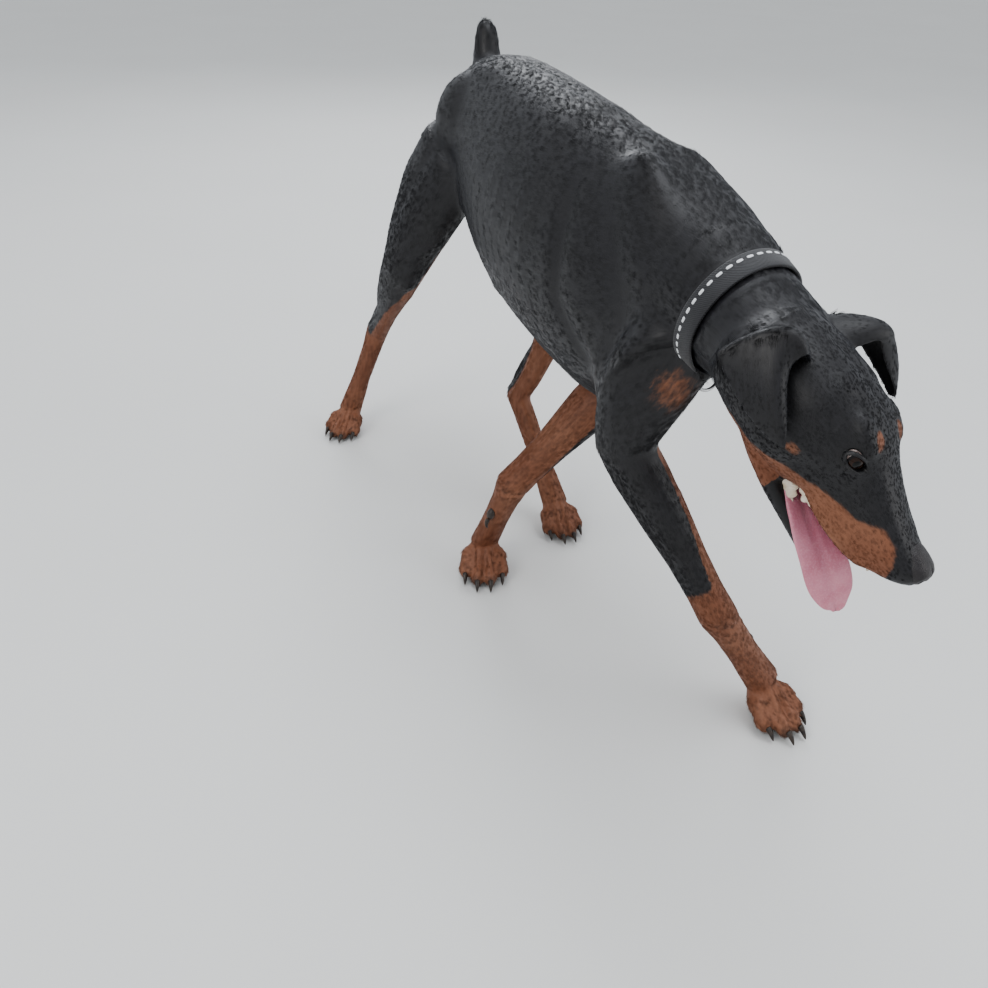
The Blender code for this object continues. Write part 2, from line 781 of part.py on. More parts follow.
def lid_rim(hand, collection):
    """The swollen margin of both lids, one closed tube along the almond."""
    centre, path = lid_ring(hand, EYE_RADIUS + 0.0007, 1.0)
    shape = bmesh.new()
    rings = []
    for number, point in enumerate(path):
        along = (path[(number + 1) % LID_POINTS] - path[number - 1]).normalized()
        outward = (point - centre).normalized()
        across = along.cross(outward)
        ring = []
        for step in range(6):
            angle = 2 * math.pi * step / 6
            offset = across * (math.cos(angle) * 0.0024) + outward * (math.sin(angle) * 0.0016)
            ring.append(shape.verts.new(point + offset))
        rings.append(ring)
    closed_band(shape, rings)
    return mesh_object("lid_rim", shape, collection)


def lid_opening(hand, collection):
    """The cone that opens the head from the eye's centre out through the almond."""
    centre, _ = lid_ring(hand, EYE_RADIUS, 1.0)
    shape = bmesh.new()
    rings = [lid_ring(hand, EYE_RADIUS * share, 0.84)[1] for share in (0.3, 1.0, 2.0)]
    loft(shape, rings)
    return mesh_object("lid_opening", shape, collection)


def make_nose(collection):
    """The nose leather: a rounded wedge with two nostrils."""
    shape = bmesh.new()
    rings = []
    for y, top, bottom, half_width in ((-214, -36, -58, 13), (-222, -36.5, -60, 15.5), (-231, -37.5, -60, 16),
                                       (-237, -40, -58, 13.5), (-240, -44, -54, 7.5)):
        centre = head_point(0, y, (top + bottom) / 2)
        height = (top - bottom) / 2 * MM
        rings.append(section(centre, head_side(), HEAD.to_3x3() @ UP, half_width * MM, height, height,
                             2.4, 2.2, 16))
    loft(shape, rings[::-1])
    nose = mesh_object("nose", shape, collection)
    for sign in (-1, 1):
        hole = bmesh.new()
        muscle(hole, head_point(4.5 * sign, -242, -48), head_point(12 * sign, -232, -50), 0.0028, 0.0030,
               HEAD.to_3x3() @ UP, 1.3, 9)
        combine(nose, mesh_object("nostril", hole, collection), "DIFFERENCE")
    return nose


# centre, half width and thickness along the tongue, in the head's frame, and how far its edge is rolled
TONGUE = (
    ((0, -94, -97), 13, 4.0, 0),
    ((-3, -118, -101), 15, 4.0, 6),
    ((-6, -142, -105), 17, 4.0, 18),
    ((-8, -165, -109), 18.5, 3.6, 32),
    ((-8, -189, -114), 20.5, 3.2, 42),
    ((-5, -208, -122), 20, 3.0, 45),
    ((-2, -221, -129), 15, 2.8, 45),
    ((0, -230, -134), 7, 2.2, 45),
)


def make_tongue(collection):
    shape = bmesh.new()
    centres = [head_point(*row[0]) for row in TONGUE]
    rings = []
    for number, (_, half_width, half_height, roll) in enumerate(TONGUE):
        before = centres[max(number - 1, 0)]
        after = centres[min(number + 1, len(TONGUE) - 1)]
        along = (after - before).normalized()
        side = head_side()
        across = (side - along * side.dot(along)).normalized()
        across.rotate(Matrix.Rotation(math.radians(roll), 3, along))
        deep = across.cross(along).normalized()
        rings.append(section(centres[number], across, deep, half_width * MM, half_height * MM,
                             half_height * MM, 2.6, 2.6, 16))
    loft(shape, rings)
    return mesh_object("tongue", shape, collection)


# y along the jaw, height, half length: cheek teeth, eye tooth and front teeth of one side
UPPER_TEETH = ((-120, 13, 5.0), (-133, 17, 6.8), (-148, 13, 5.2), (-160, 11, 4.4), (-172, 10, 3.6), (-200, 12, 4.4),
               (-211, 8, 3.0))
LOWER_TEETH = ((-114, 12, 4.5), (-127, 16, 6.3), (-140, 13, 5.0), (-151, 11, 4.0), (-162, 10, 3.4), (-181, 17, 4.2),
               (-190, 10, 2.6))


def add_teeth(target, frame, teeth, root_height, spread, downward, collection):
    shape = bmesh.new()
    for y, height, half_length in teeth:
        for sign in (-1, 1):
            x = spread(-y) * sign
            root = Vector((x, y, root_height))
            tip = Vector((x * 0.96, y - 1.0, root_height + height * downward))
            axis = (tip - root).normalized()
            turn = axis.to_track_quat("Z", "Y").to_matrix().to_4x4()
            narrow = Matrix.Diagonal((0.62, 1, 1, 1))
            place = frame @ Matrix.Translation((root + tip) / 2 * MM) @ turn @ narrow
            bmesh.ops.create_cone(shape, cap_ends=True, segments=7, radius1=half_length * MM,
                                  radius2=0.9 * MM, depth=height * MM, matrix=place)
    combine(target, mesh_object("teeth", shape, collection), "UNION", "MANIFOLD")


def upper_spread(y):
    return 24.0 - max(y - 130, 0) * 0.13


def lower_spread(y):
    return 17.5 - max(y - 120, 0) * 0.09


def add_claws(leg, name, collection):
    """Four claws, rooted in the toes and clear of the floor."""
    frame = paw_frame(name)
    size = 1.0 if name.startswith("fore") else 0.92
    shape = bmesh.new()
    for across, reach in TOES:
        root = Vector((across * 1.06, -(reach * 1.10 + 4), 13)) * size * MM
        tip = Vector((across * 1.07, -(reach * 1.10 + 14), 3.5)) * size * MM
        turn = (tip - root).normalized().to_track_quat("Z", "Y").to_matrix().to_4x4()
        place = frame @ Matrix.Translation((root + tip) / 2) @ turn
        bmesh.ops.create_cone(shape, cap_ends=True, segments=7, radius1=0.0042, radius2=0.0013,
                              depth=(tip - root).length, matrix=place)
    combine(leg, mesh_object("claws", shape, collection), "UNION")


# Collar

COLLAR_CENTRE = Vector((-9, -362, 517)) * MM
COLLAR_AXIS = Vector((-0.12, -0.93, -0.30)).normalized()
COLLAR_REACH = 0.071           # where the shoulder swells past this, the band presses into it
COLLAR_CAST = 0.15


def closed_band(shape, rings):
    """Joins rings of equal count into a tube that meets its own start."""
    count = len(rings[0])
    for first, second in zip(rings, rings[1:] + rings[:1]):
        for corner in range(count):
            after = (corner + 1) % count
            shape.faces.new((first[corner], first[after], second[after], second[corner]))


def make_collar(surface, collection):
    """A flat band laid round the neck a little slack, and the ring that hangs from it."""
    count = 56
    side = (Vector((1, 0, 0)) - COLLAR_AXIS * COLLAR_AXIS.x).normalized()
    upward = COLLAR_AXIS.cross(side)
    half = COLLAR_AXIS * (COLLAR_WIDTH / 2)
    slack = 0.0015
    rings = []
    shape = bmesh.new()
    edges = []
    for share in (-1, 1):
        reaches = []
        for step in range(count):
            angle = 2 * math.pi * step / count
            ray = side * math.cos(angle) + upward * math.sin(angle)
            starts = (COLLAR_CENTRE + half * (share * 0.6), COLLAR_CENTRE + half * share)
            hits = [COLLAR_CAST - surface.ray_cast(start + ray * COLLAR_CAST, -ray)[3] for start in starts]
            reaches.append(min(max(hits), COLLAR_REACH))
        edges.append(reaches)
    for step in range(count):
        angle = 2 * math.pi * step / count
        ray = side * math.cos(angle) + upward * math.sin(angle)
        inner = []
        for reaches in edges:
            near = [reaches[(step + shift) % count] for shift in (-3, -2, -1, 0, 1, 2, 3)]
            inner.append((max(near[2:5]) * 2 + sum(near) / 7) / 3 + slack)
        corners = []
        for lift, share, reach in ((0, -1, inner[0]), (0, 1, inner[1]), (COLLAR_THICKNESS, 1, inner[1]),
                                   (COLLAR_THICKNESS, -1, inner[0])):
            corners.append(shape.verts.new(COLLAR_CENTRE + ray * (reach + lift) + half * share))
        rings.append(corners)
    low = min((corners[2].co for corners in rings), key=lambda point: point.z).copy()
    closed_band(shape, rings)
    band = mesh_object("collar", shape, collection)

    major = 0.013
    minor = 0.0017
    hang = Vector((0, 0, -1))
    middle = low + COLLAR_AXIS * 0.003 + hang * (major + minor + 0.0005)
    across = COLLAR_AXIS.cross(hang).normalized()
    face = across.cross(hang)
    shape = bmesh.new()
    rings = []
    for step in range(24):
        angle = 2 * math.pi * step / 24
        outward = hang * math.cos(angle) + across * math.sin(angle)
        corners = []
        for turn in range(8):
            spin = 2 * math.pi * turn / 8
            offset = outward * math.cos(spin) + face * math.sin(spin)
            corners.append(shape.verts.new(middle + outward * major + offset * minor))
        rings.append(corners)
    closed_band(shape, rings)
    return band, mesh_object("collar_ring", shape, collection)


# Materials

COLOURS = {
    "black_coat": ((0.012, 0.011, 0.013), 0.42, 0.0),
    "nose_leather": ((0.015, 0.014, 0.016), 0.35, 0.0),
    "eye": ((0.030, 0.014, 0.008), 0.08, 0.0),
    "tongue": ((0.62, 0.24, 0.28), 0.35, 0.0),
    "collar_web": ((0.035, 0.035, 0.040), 0.70, 0.0),
    "collar_steel": ((0.55, 0.55, 0.56), 0.30, 1.0),
}


def finish_material(target, slot):
    colour, roughness, metallic = COLOURS[slot]
    material = bpy.data.materials.get(slot) or bpy.data.materials.new(slot)
    material.use_nodes = True
    shader = material.node_tree.nodes["Principled BSDF"]
    shader.inputs["Base Color"].default_value = (*colour, 1)
    shader.inputs["Roughness"].default_value = roughness
    shader.inputs["Metallic"].default_value = metallic
    target.data.materials.clear()
    target.data.materials.append(material)


def centre_on_floor(pieces):
    """Moves every piece so that the origin lies under the middle of the whole."""
    points = np.concatenate([vertex_array(piece.data) for piece in pieces])
    middle = (points.min(axis=0) + points.max(axis=0)) / 2
    shift = Matrix.Translation((-middle[0], -middle[1], 0))
    for piece in pieces:
        piece.data.transform(shift)


def main():
    for old in list(bpy.data.objects):
        bpy.data.objects.remove(old, do_unlink=True)
    dog = bpy.data.collections.new("doberman_pinscher")
    bpy.context.scene.collection.children.link(dog)

    torso = fuse_body(dog)
    torso.name = "torso"
    floor = bmesh.new()
    bmesh.ops.create_cube(floor, size=1, matrix=Matrix.Translation((0, 0, -0.5)) @ Matrix.Diagonal((3, 3, 1, 1)))
    combine(torso, mesh_object("floor", floor, dog), "DIFFERENCE")

    legs = []
    for kind in ("foreleg", "hindleg"):
        for hand in ("left", "right"):
            leg = part_leg(torso, kind, hand, dog)
            add_claws(leg, kind.replace("leg", "paw_") + hand, dog)
            legs.append(leg)
    neck_base = Vector((5, -304, 525)) * MM
    thin_cut(torso, neck_base, Vector((0, -0.84, 0.54)), 0.165)
    thin_cut(torso, HEAD @ (Vector((0, 14, -52)) * MM), Vector((-0.1, -0.86, -0.5)), 0.12)
    thin_cut(torso, joint("tail_base") + Vector((0, 0.003, 0.012)), Vector((0, 0.1, 1)), 0.034)
    tail = split_off(torso, "tail", joint("tail_base") + Vector((0, 0.009, 0.055)))
    head = split_off(torso, "head", head_point(0, -230, -40))
    neck = split_off(torso, "neck", Vector((-3, -335, 590)) * MM)
    keep_largest(torso)

    nose = make_nose(dog)
    combine(head, grown(nose), "DIFFERENCE")
    eyes = []
    for hand in ("left", "right"):
        eye = make_eye(hand, dog)
        combine(head, lid_rim(hand, dog), "UNION", "MANIFOLD")
        combine(head, lid_opening(hand, dog), "DIFFERENCE", "MANIFOLD")
        combine(head, grown(eye), "DIFFERENCE", "MANIFOLD")
        eyes.append(eye)
    tongue = make_tongue(dog)
    ears = []
    for hand in ("left", "right"):
        ear = make_ear(hand, dog)
        combine(head, grown(ear), "DIFFERENCE", "MANIFOLD")
        combine(neck, grown(ear), "DIFFERENCE", "MANIFOLD")
        ears.append(ear)
    add_teeth(head, HEAD, UPPER_TEETH, -76, upper_spread, -1, dog)
    add_teeth(head, JAW, LOWER_TEETH, -76, lower_spread, 1, dog)
    combine(head, grown(tongue), "DIFFERENCE", "MANIFOLD")
    keep_largest(head)

    collar, ring = make_collar(BVHTree.FromObject(neck, bpy.context.evaluated_depsgraph_get()), dog)
    for neighbour in [torso, neck] + legs[:2]:
        combine(neighbour, grown(collar), "DIFFERENCE", "MANIFOLD")
        keep_largest(neighbour)

    for target in [torso, neck, head, tail] + legs + ears:
        finish_material(target, "black_coat")
    for eye in eyes:
        finish_material(eye, "eye")
    finish_material(nose, "nose_leather")
    finish_material(tongue, "tongue")
    finish_material(collar, "collar_web")
    finish_material(ring, "collar_steel")
    centre_on_floor(list(dog.objects))


main()
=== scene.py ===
"""A doberman pinscher as a still, life-size model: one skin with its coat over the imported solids.

Metres, +Z up, floor at z = 0, the dog heads towards -Y and its left side is +X. The shapes are worked in the
stride's own place, from the same named values as the solids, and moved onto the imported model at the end.
"""

import json
import math

import bmesh
import bpy
import numpy as np
from mathutils import Matrix, Vector
from mathutils.bvhtree import BVHTree

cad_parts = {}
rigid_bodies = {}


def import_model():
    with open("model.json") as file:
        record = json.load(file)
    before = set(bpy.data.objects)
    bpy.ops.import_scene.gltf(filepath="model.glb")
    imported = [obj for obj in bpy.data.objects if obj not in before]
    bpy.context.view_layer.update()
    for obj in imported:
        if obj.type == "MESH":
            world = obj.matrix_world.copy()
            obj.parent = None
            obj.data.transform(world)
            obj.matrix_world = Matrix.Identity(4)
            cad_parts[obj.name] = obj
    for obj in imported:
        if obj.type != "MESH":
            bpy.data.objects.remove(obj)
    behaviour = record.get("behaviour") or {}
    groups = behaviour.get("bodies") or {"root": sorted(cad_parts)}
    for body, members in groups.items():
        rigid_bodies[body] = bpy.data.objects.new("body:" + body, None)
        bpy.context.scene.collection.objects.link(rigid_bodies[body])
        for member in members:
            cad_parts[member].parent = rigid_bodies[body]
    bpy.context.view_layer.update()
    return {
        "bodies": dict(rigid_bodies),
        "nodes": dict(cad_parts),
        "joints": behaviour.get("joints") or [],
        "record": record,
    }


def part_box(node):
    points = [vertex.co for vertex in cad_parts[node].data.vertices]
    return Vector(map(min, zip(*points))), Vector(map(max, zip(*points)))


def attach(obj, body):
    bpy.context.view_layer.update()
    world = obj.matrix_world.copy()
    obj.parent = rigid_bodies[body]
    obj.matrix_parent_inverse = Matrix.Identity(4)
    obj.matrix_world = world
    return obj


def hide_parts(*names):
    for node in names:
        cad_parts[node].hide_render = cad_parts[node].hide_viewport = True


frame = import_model()

MM = 0.001
HEAD_LENGTH = 0.246
CHEST_HALF_WIDTH = 0.096
GAPE = math.radians(20)
EYE_RADIUS = 0.0115
EAR_THICKNESS = 0.0034
COLLAR_WIDTH = 0.025
COLLAR_THICKNESS = 0.0030
COAT_DEPTH = 0.0008
VOXEL = 0.0018
ROUNDS = (0.0032 / VOXEL) ** 2      # smoothing that gives the solids' own form at this grain
UP = Vector((0, 0, 1))

JOINTS = {
    "withers": (3, -201, 633),
    "croup": (-4, 181, 652),
    "tail_base": (10, 300, 626),
    "shoulder_blade_left": (38, -185, 608),
    "shoulder_left": (86, -236, 446),
    "elbow_left": (52, -105, 338),
    "wrist_left": (-87, -62, 162),
    "forepaw_left": (-110, -27, 30),
    "shoulder_blade_right": (-40, -212, 618),
    "shoulder_right": (-54, -325, 462),
    "elbow_right": (-60, -282, 345),
    "wrist_right": (30, -380, 155),
    "forepaw_right": (107, -410, 31),
    "hip_left": (55, 231, 520),
    "knee_left": (84, 108, 373),
    "hock_left": (15, 147, 175),
    "hindpaw_left": (39, 34, 27),
    "hip_right": (-55, 240, 528),
    "knee_right": (-123, 291, 340),
    "hock_right": (-129, 415, 192),
    "hindpaw_right": (-186, 432, 27),
}

PAW_HEADINGS = {
    "forepaw_left": (-0.36, -0.93),
    "forepaw_right": (0.13, -0.99),
    "hindpaw_left": (-0.05, -1.0),
    "hindpaw_right": (-0.66, -0.75),
}


def joint(name):
    return Vector(JOINTS[name]) * MM


OCCIPUT = Vector((-22, -462, 570)) * MM
HEAD_FORWARD = Vector((0.26, -0.75, -0.61)).normalized()
HEAD_LEFT = Vector((0.90, 0.41, -0.11))


def head_frame():
    left = (HEAD_LEFT - HEAD_FORWARD * HEAD_LEFT.dot(HEAD_FORWARD)).normalized()
    top = left.cross(-HEAD_FORWARD)
    turn = Matrix((left, -HEAD_FORWARD, top)).transposed().to_4x4()
    return Matrix.Translation(OCCIPUT) @ turn


HEAD = head_frame()
HEAD_SIDE = HEAD.to_3x3() @ Vector((1, 0, 0))
HEAD_TOP = HEAD.to_3x3() @ UP
JAW_HINGE = Vector((0, -45, -62)) * MM
JAW = HEAD @ Matrix.Translation(JAW_HINGE) @ Matrix.Rotation(GAPE, 4, "X") @ Matrix.Translation(-JAW_HINGE)
EYE_CENTRE = (28.5, -123.5, -27)
GAZE_LEFT = (0.70, -0.66, 0.27)


def head_point(x, y, z):
    return HEAD @ (Vector((x, y, z)) * MM)


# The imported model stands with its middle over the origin: the eye says how far the stride was moved
eye_low, eye_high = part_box("eye_left")
TO_FLOOR_MIDDLE = (eye_low + eye_high) / 2 - head_point(*EYE_CENTRE)
TO_FLOOR_MIDDLE.z = 0


# Camera, light and floor

def place_camera():
    yaw, pitch, roll = (math.radians(turn) for turn in (24.054, 33.571, 2.429))
    forward = Vector((math.sin(yaw) * math.cos(pitch), math.cos(yaw) * math.cos(pitch), -math.sin(pitch)))
    right = Vector((math.cos(yaw), -math.sin(yaw), 0))
    upward = right.cross(forward)
    tilted_right = right * math.cos(roll) + upward * math.sin(roll)
    tilted_up = upward * math.cos(roll) - right * math.sin(roll)
    data = bpy.data.cameras.new("camera")
    data.sensor_width = 36
    data.lens = 34.31
    data.shift_x = 0.0015
    camera = bpy.data.objects.new("camera", data)
    bpy.context.scene.collection.objects.link(camera)
    turn = Matrix((tilted_right, tilted_up, -forward)).transposed().to_4x4()
    camera.matrix_world = Matrix.Translation(Vector((-0.545, -1.024, 0.853)) + TO_FLOOR_MIDDLE) @ turn
    bpy.context.scene.camera = camera


def place_light(name, place, size, power, colour):
    data = bpy.data.lights.new(name, "AREA")
    data.shape = "DISK"
    data.size = size
    data.energy = power
    data.color = colour
    lamp = bpy.data.objects.new(name, data)
    bpy.context.scene.collection.objects.link(lamp)
    lamp.location = place
    lamp.rotation_euler = (Vector(place) - Vector((0, -0.05, 0.4))).to_track_quat("Z", "Y").to_euler()


def light_studio():
    place_light("overhead", (0.3, -0.3, 3.2), 2.8, 46, (0.93, 0.96, 1.0))
    place_light("window", (-2.6, -1.2, 2.2), 1.8, 27, (1.0, 0.98, 0.95))
    place_light("fill", (2.4, -2.2, 1.4), 2.0, 15, (1.0, 0.99, 0.97))
    place_light("rim", (0.8, 2.8, 2.2), 1.6, 26, (0.95, 0.97, 1.0))
    world = bpy.data.worlds.new("studio")
    world.use_nodes = True
    world.node_tree.nodes["Background"].inputs["Color"].default_value = (0.80, 0.83, 0.86, 1)
    world.node_tree.nodes["Background"].inputs["Strength"].default_value = 0.85
    bpy.context.scene.world = world
    bpy.context.scene.view_settings.view_transform = "AgX"
    bpy.context.scene.view_settings.look = "AgX - Medium High Contrast"


# Mesh helpers

def new_object(name, mesh):
    made = bpy.data.objects.new(name, mesh)
    bpy.context.scene.collection.objects.link(made)
    return made


def apply_modifiers(source):
    graph = bpy.context.evaluated_depsgraph_get()
    graph.update()
    baked = bpy.data.meshes.new_from_object(source.evaluated_get(graph))
    source.modifiers.clear()
    old = source.data
    source.data = baked
    bpy.data.meshes.remove(old)


def shape_object(name, shape):
    """Turns a filled bmesh, its faces turned outward, into an object."""
    bmesh.ops.recalc_face_normals(shape, faces=shape.faces)
    if shape.calc_volume(signed=True) < 0:
        bmesh.ops.reverse_faces(shape, faces=shape.faces)
    mesh = bpy.data.meshes.new(name)
    shape.to_mesh(mesh)
    shape.free()
    return new_object(name, mesh)


def smooth_faces(target):
    target.data.polygons.foreach_set("use_smooth", [True] * len(target.data.polygons))
    target.data.update()


def smooth_object(name, shape):
    made = shape_object(name, shape)
    smooth_faces(made)
    return made


def subdivide(target, levels):
    rounder = target.modifiers.new("rounder", "SUBSURF")
    rounder.levels = levels
    rounder.render_levels = levels
    apply_modifiers(target)


def combine(target, tool, operation):
    cut = target.modifiers.new(operation.lower(), "BOOLEAN")
    cut.operation = operation
    cut.solver = "MANIFOLD"
    cut.object = tool
    apply_modifiers(target)
    bpy.data.objects.remove(tool, do_unlink=True)


def remesh(target, voxel):
    fuse = target.modifiers.new("fuse", "REMESH")
    fuse.mode = "VOXEL"
    fuse.voxel_size = voxel
    apply_modifiers(target)


def vertex_array(mesh):
    flat = np.empty(len(mesh.vertices) * 3)
    mesh.vertices.foreach_get("co", flat)
    return flat.reshape(-1, 3)


def normal_array(mesh):
    flat = np.empty(len(mesh.vertices) * 3, dtype=np.float32)
    mesh.vertex_normals.foreach_get("vector", flat)
    return flat.reshape(-1, 3).astype(float)


def set_points(mesh, points):
    mesh.vertices.foreach_set("co", points.ravel())
    mesh.update()


def neighbours(mesh):
    """The two ends of every edge, and how many neighbours each vertex has."""
    edges = np.empty(len(mesh.edges) * 2, dtype=np.int64)
    mesh.edges.foreach_get("vertices", edges)
    count = np.maximum(np.bincount(edges, minlength=len(mesh.vertices)), 1)
    return *edges.reshape(-1, 2).T, count[:, None]


def neighbour_sums(values, first, second):
    """For each vertex the sum of its neighbours' rows."""
    total = np.zeros_like(values)
    for axis in range(values.shape[1]):
        total[:, axis] = np.bincount(first, values[second, axis], len(values))
        total[:, axis] += np.bincount(second, values[first, axis], len(values))
    return total


def relax(mesh, weights, rounds):
    """Moves each vertex towards the mean of its neighbours, by its own weight."""
    points = vertex_array(mesh)
    first, second, count = neighbours(mesh)
    for _ in range(int(round(rounds))):
        points += (neighbour_sums(points, first, second) / count - points) * weights[:, None]
    set_points(mesh, points)


def face_corners(mesh):
    """Where each face's corners start, and the vertex at every corner."""
    starts = np.empty(len(mesh.polygons), dtype=np.int64)
    mesh.polygons.foreach_get("loop_start", starts)
    corners = np.empty(len(mesh.loops), dtype=np.int64)
    mesh.loops.foreach_get("vertex_index", corners)
    return starts, corners


def store(mesh, name, values):
    """Keeps a number or a vector for each vertex, for the materials and the coat."""
    kind = "FLOAT" if values.ndim == 1 else "FLOAT_VECTOR"
    layer = mesh.attributes.new(name, kind, "POINT")
    layer.data.foreach_set("value" if kind == "FLOAT" else "vector", values.astype(np.float32).ravel())


def section(centre, side, upward, half_width, rise, drop, top_power=2.0, low_power=2.0, sides=24):
    """One ring of a loft: a superellipse, with its own height above and below its centre."""
    ring = []
    for step in range(sides):
        angle = 2 * math.pi * step / sides
        cosine = math.cos(angle)
        sine = math.sin(angle)
        power = 2 / (top_power if sine >= 0 else low_power)
        across = half_width * math.copysign(abs(cosine) ** power, cosine)
        height = (rise if sine >= 0 else drop) * math.copysign(abs(sine) ** power, sine)
        ring.append(centre + side * across + upward * height)
    return ring


def loft(mesh, rings):
    """Adds a closed skin through rings of equal count, with a fan at each end."""
    rows = [[mesh.verts.new(point) for point in ring] for ring in rings]
    count = len(rows[0])
    for first, second in zip(rows, rows[1:]):
        for step in range(count):
            after = (step + 1) % count
            mesh.faces.new((first[step], first[after], second[after], second[step]))
    for row, turned in ((rows[0], True), (rows[-1], False)):
        middle = mesh.verts.new(sum((vert.co for vert in row), Vector()) / count)
        for step in range(count):
            after = (step + 1) % count
            corners = (row[step], row[after], middle)
            mesh.faces.new(corners[::-1] if turned else corners)


def muscle(mesh, start, end, half_width, half_depth, side, overlap=1.15, segments=20):
    """Adds an ellipsoid from start to end, half_width along side and half_depth across both."""
    axis = end - start
    along = axis.normalized()
    across = (side - along * side.dot(along)).normalized()
    deep = along.cross(across)
    turn = Matrix((across, deep, along)).transposed().to_4x4()
    stretch = Matrix.Diagonal((half_width, half_depth, axis.length / 2 * overlap, 1))
    place = Matrix.Translation((start + end) / 2) @ turn @ stretch
    bmesh.ops.create_uvsphere(mesh, u_segments=segments, v_segments=segments * 2 // 3, radius=1, matrix=place)


def limb(mesh, rows, side):
    """Lofts a limb through rows of (point, half width along side, half depth)."""
    rings = []
    for number, (point, half_width, half_depth) in enumerate(rows):
        before = rows[max(number - 1, 0)][0]
        after = rows[min(number + 1, len(rows) - 1)][0]
        along = (after - before).normalized()
        across = (side - along * side.dot(along)).normalized()
        deep = along.cross(across)
        rings.append(section(point, across, deep, half_width, half_depth, half_depth, sides=20))
    loft(mesh, rings)


def stations(segments):
    """Turns (start, end, back, ((share, width, depth, shift), ...)) into limb rows, shifted along back."""
    rows = []
    for start, end, back, marks in segments:
        for share, half_width, half_depth, shift in marks:
            point = start.lerp(end, share) + back * (shift * MM)
            rows.append((point, half_width * MM, half_depth * MM))
    return rows


# Trunk, neck and head

# y, x of the middle line, turn in degrees, top, widest height, bottom, share of chest width, squareness low
TRUNK = (
    (-348, 40, 16, 490, 460, 442, 0.34, 2.0),
    (-328, 35, 16, 535, 466, 424, 0.64, 1.9),
    (-290, 25, 15, 580, 470, 398, 0.88, 1.8),
    (-240, 12, 14, 612, 472, 352, 0.95, 1.7),
    (-190, 1, 12, 630, 478, 326, 0.98, 1.7),
    (-130, -7, 9, 638, 485, 325, 1.00, 1.75),
    (-60, -10, 5, 646, 492, 334, 1.02, 1.8),
    (10, -10, 1, 652, 500, 346, 1.00, 1.9),
    (70, -8, -1, 656, 506, 357, 0.96, 2.0),
    (120, -6, -3, 658, 516, 376, 0.90, 2.1),
    (165, -4, -4, 658, 532, 399, 0.84, 2.1),
    (215, 0, -4, 652, 546, 423, 0.80, 2.0),
    (262, 5, -4, 642, 560, 468, 0.70, 2.0),
    (300, 11, -4, 626, 568, 508, 0.50, 2.0),
    (322, 13, -4, 604, 574, 540, 0.28, 2.0),
)

# centre, half width, rise, drop along the neck, from inside the chest to inside the skull
NECK = (
    ((8, -205, 515), 86, 108, 112),
    ((4, -265, 522), 80, 88, 84),
    ((-3, -325, 521), 66, 72, 66),
    ((-12, -385, 515), 57, 60, 54),
    ((-18, -435, 510), 53, 53, 48),
    ((-20, -475, 492), 50, 46, 46),
)

# In thousandths of the head's length: y, top, bottom, half width, squareness above and below
SKULL = (
    (60, -150, -330, 115, 2.0, 2.0),
    (10, -30, -405, 180, 2.1, 2.1),
    (-75, 0, -428, 212, 2.2, 2.2),
    (-190, 18, -436, 228, 2.3, 2.2),
    (-300, 24, -426, 226, 2.3, 2.2),
    (-400, 20, -408, 204, 2.3, 2.4),
    (-450, 14, -396, 182, 2.3, 2.6),
    (-500, 0, -356, 166, 2.3, 3.2),
    (-547, -24, -346, 146, 2.3, 3.8),
    (-600, -56, -350, 130, 2.3, 4.2),
    (-670, -90, -356, 121, 2.3, 4.4),
    (-756, -122, -356, 113, 2.3, 4.2),
    (-841, -146, -332, 104, 2.3, 3.6),
    (-906, -158, -298, 92, 2.3, 3.0),
    (-950, -172, -266, 72, 2.2, 2.6),
    (-972, -190, -240, 44, 2.0, 2.0),
)

LOWER_JAW = (
    (-110, -270, -395, 130, 2.0, 2.0),
    (-200, -285, -407, 160, 2.2, 2.1),
    (-350, -292, -404, 150, 2.4, 2.1),
    (-500, -288, -390, 122, 2.6, 2.1),
    (-620, -278, -364, 100, 2.6, 2.1),
    (-720, -270, -342, 84, 2.6, 2.1),
    (-790, -264, -332, 68, 2.4, 2.1),
    (-825, -270, -314, 44, 2.0, 2.0),
)


def add_trunk(mesh):
    rings = []
    for y, x, turn, top, middle, bottom, share, low_power in TRUNK:
        side = side_of(turn)
        centre = Vector((x, y, middle)) * MM
        rings.append(section(centre, side, UP, CHEST_HALF_WIDTH * share, (top - middle) * MM,
                             (middle - bottom) * MM, 2.1, low_power, 32))
    loft(mesh, rings[::-1])


def add_neck(mesh):
    rings = []
    centres = [Vector(row[0]) * MM for row in NECK]
    for number, (_, half_width, rise, drop) in enumerate(NECK):
        before = centres[max(number - 1, 0)]
        after = centres[min(number + 1, len(NECK) - 1)]
        along = (after - before).normalized()
        side = along.cross(UP).normalized() * -1
        upward = along.cross(side)
        rings.append(section(centres[number], side, upward, half_width * MM, rise * MM, drop * MM, 2.1, 2.0))
    loft(mesh, rings)


def add_head_loft(mesh, rows, place):
    side = place.to_3x3() @ Vector((1, 0, 0))
    upward = place.to_3x3() @ UP
    unit = HEAD_LENGTH / 1000
    rings = []
    for y, top, bottom, half_width, top_power, low_power in rows:
        middle = (top + bottom) / 2
        centre = place @ (Vector((0, y, middle)) * unit)
        half_height = (top - middle) * unit
        rings.append(section(centre, side, upward, half_width * unit, half_height, half_height,
                             top_power, low_power))
    loft(mesh, rings[::-1])


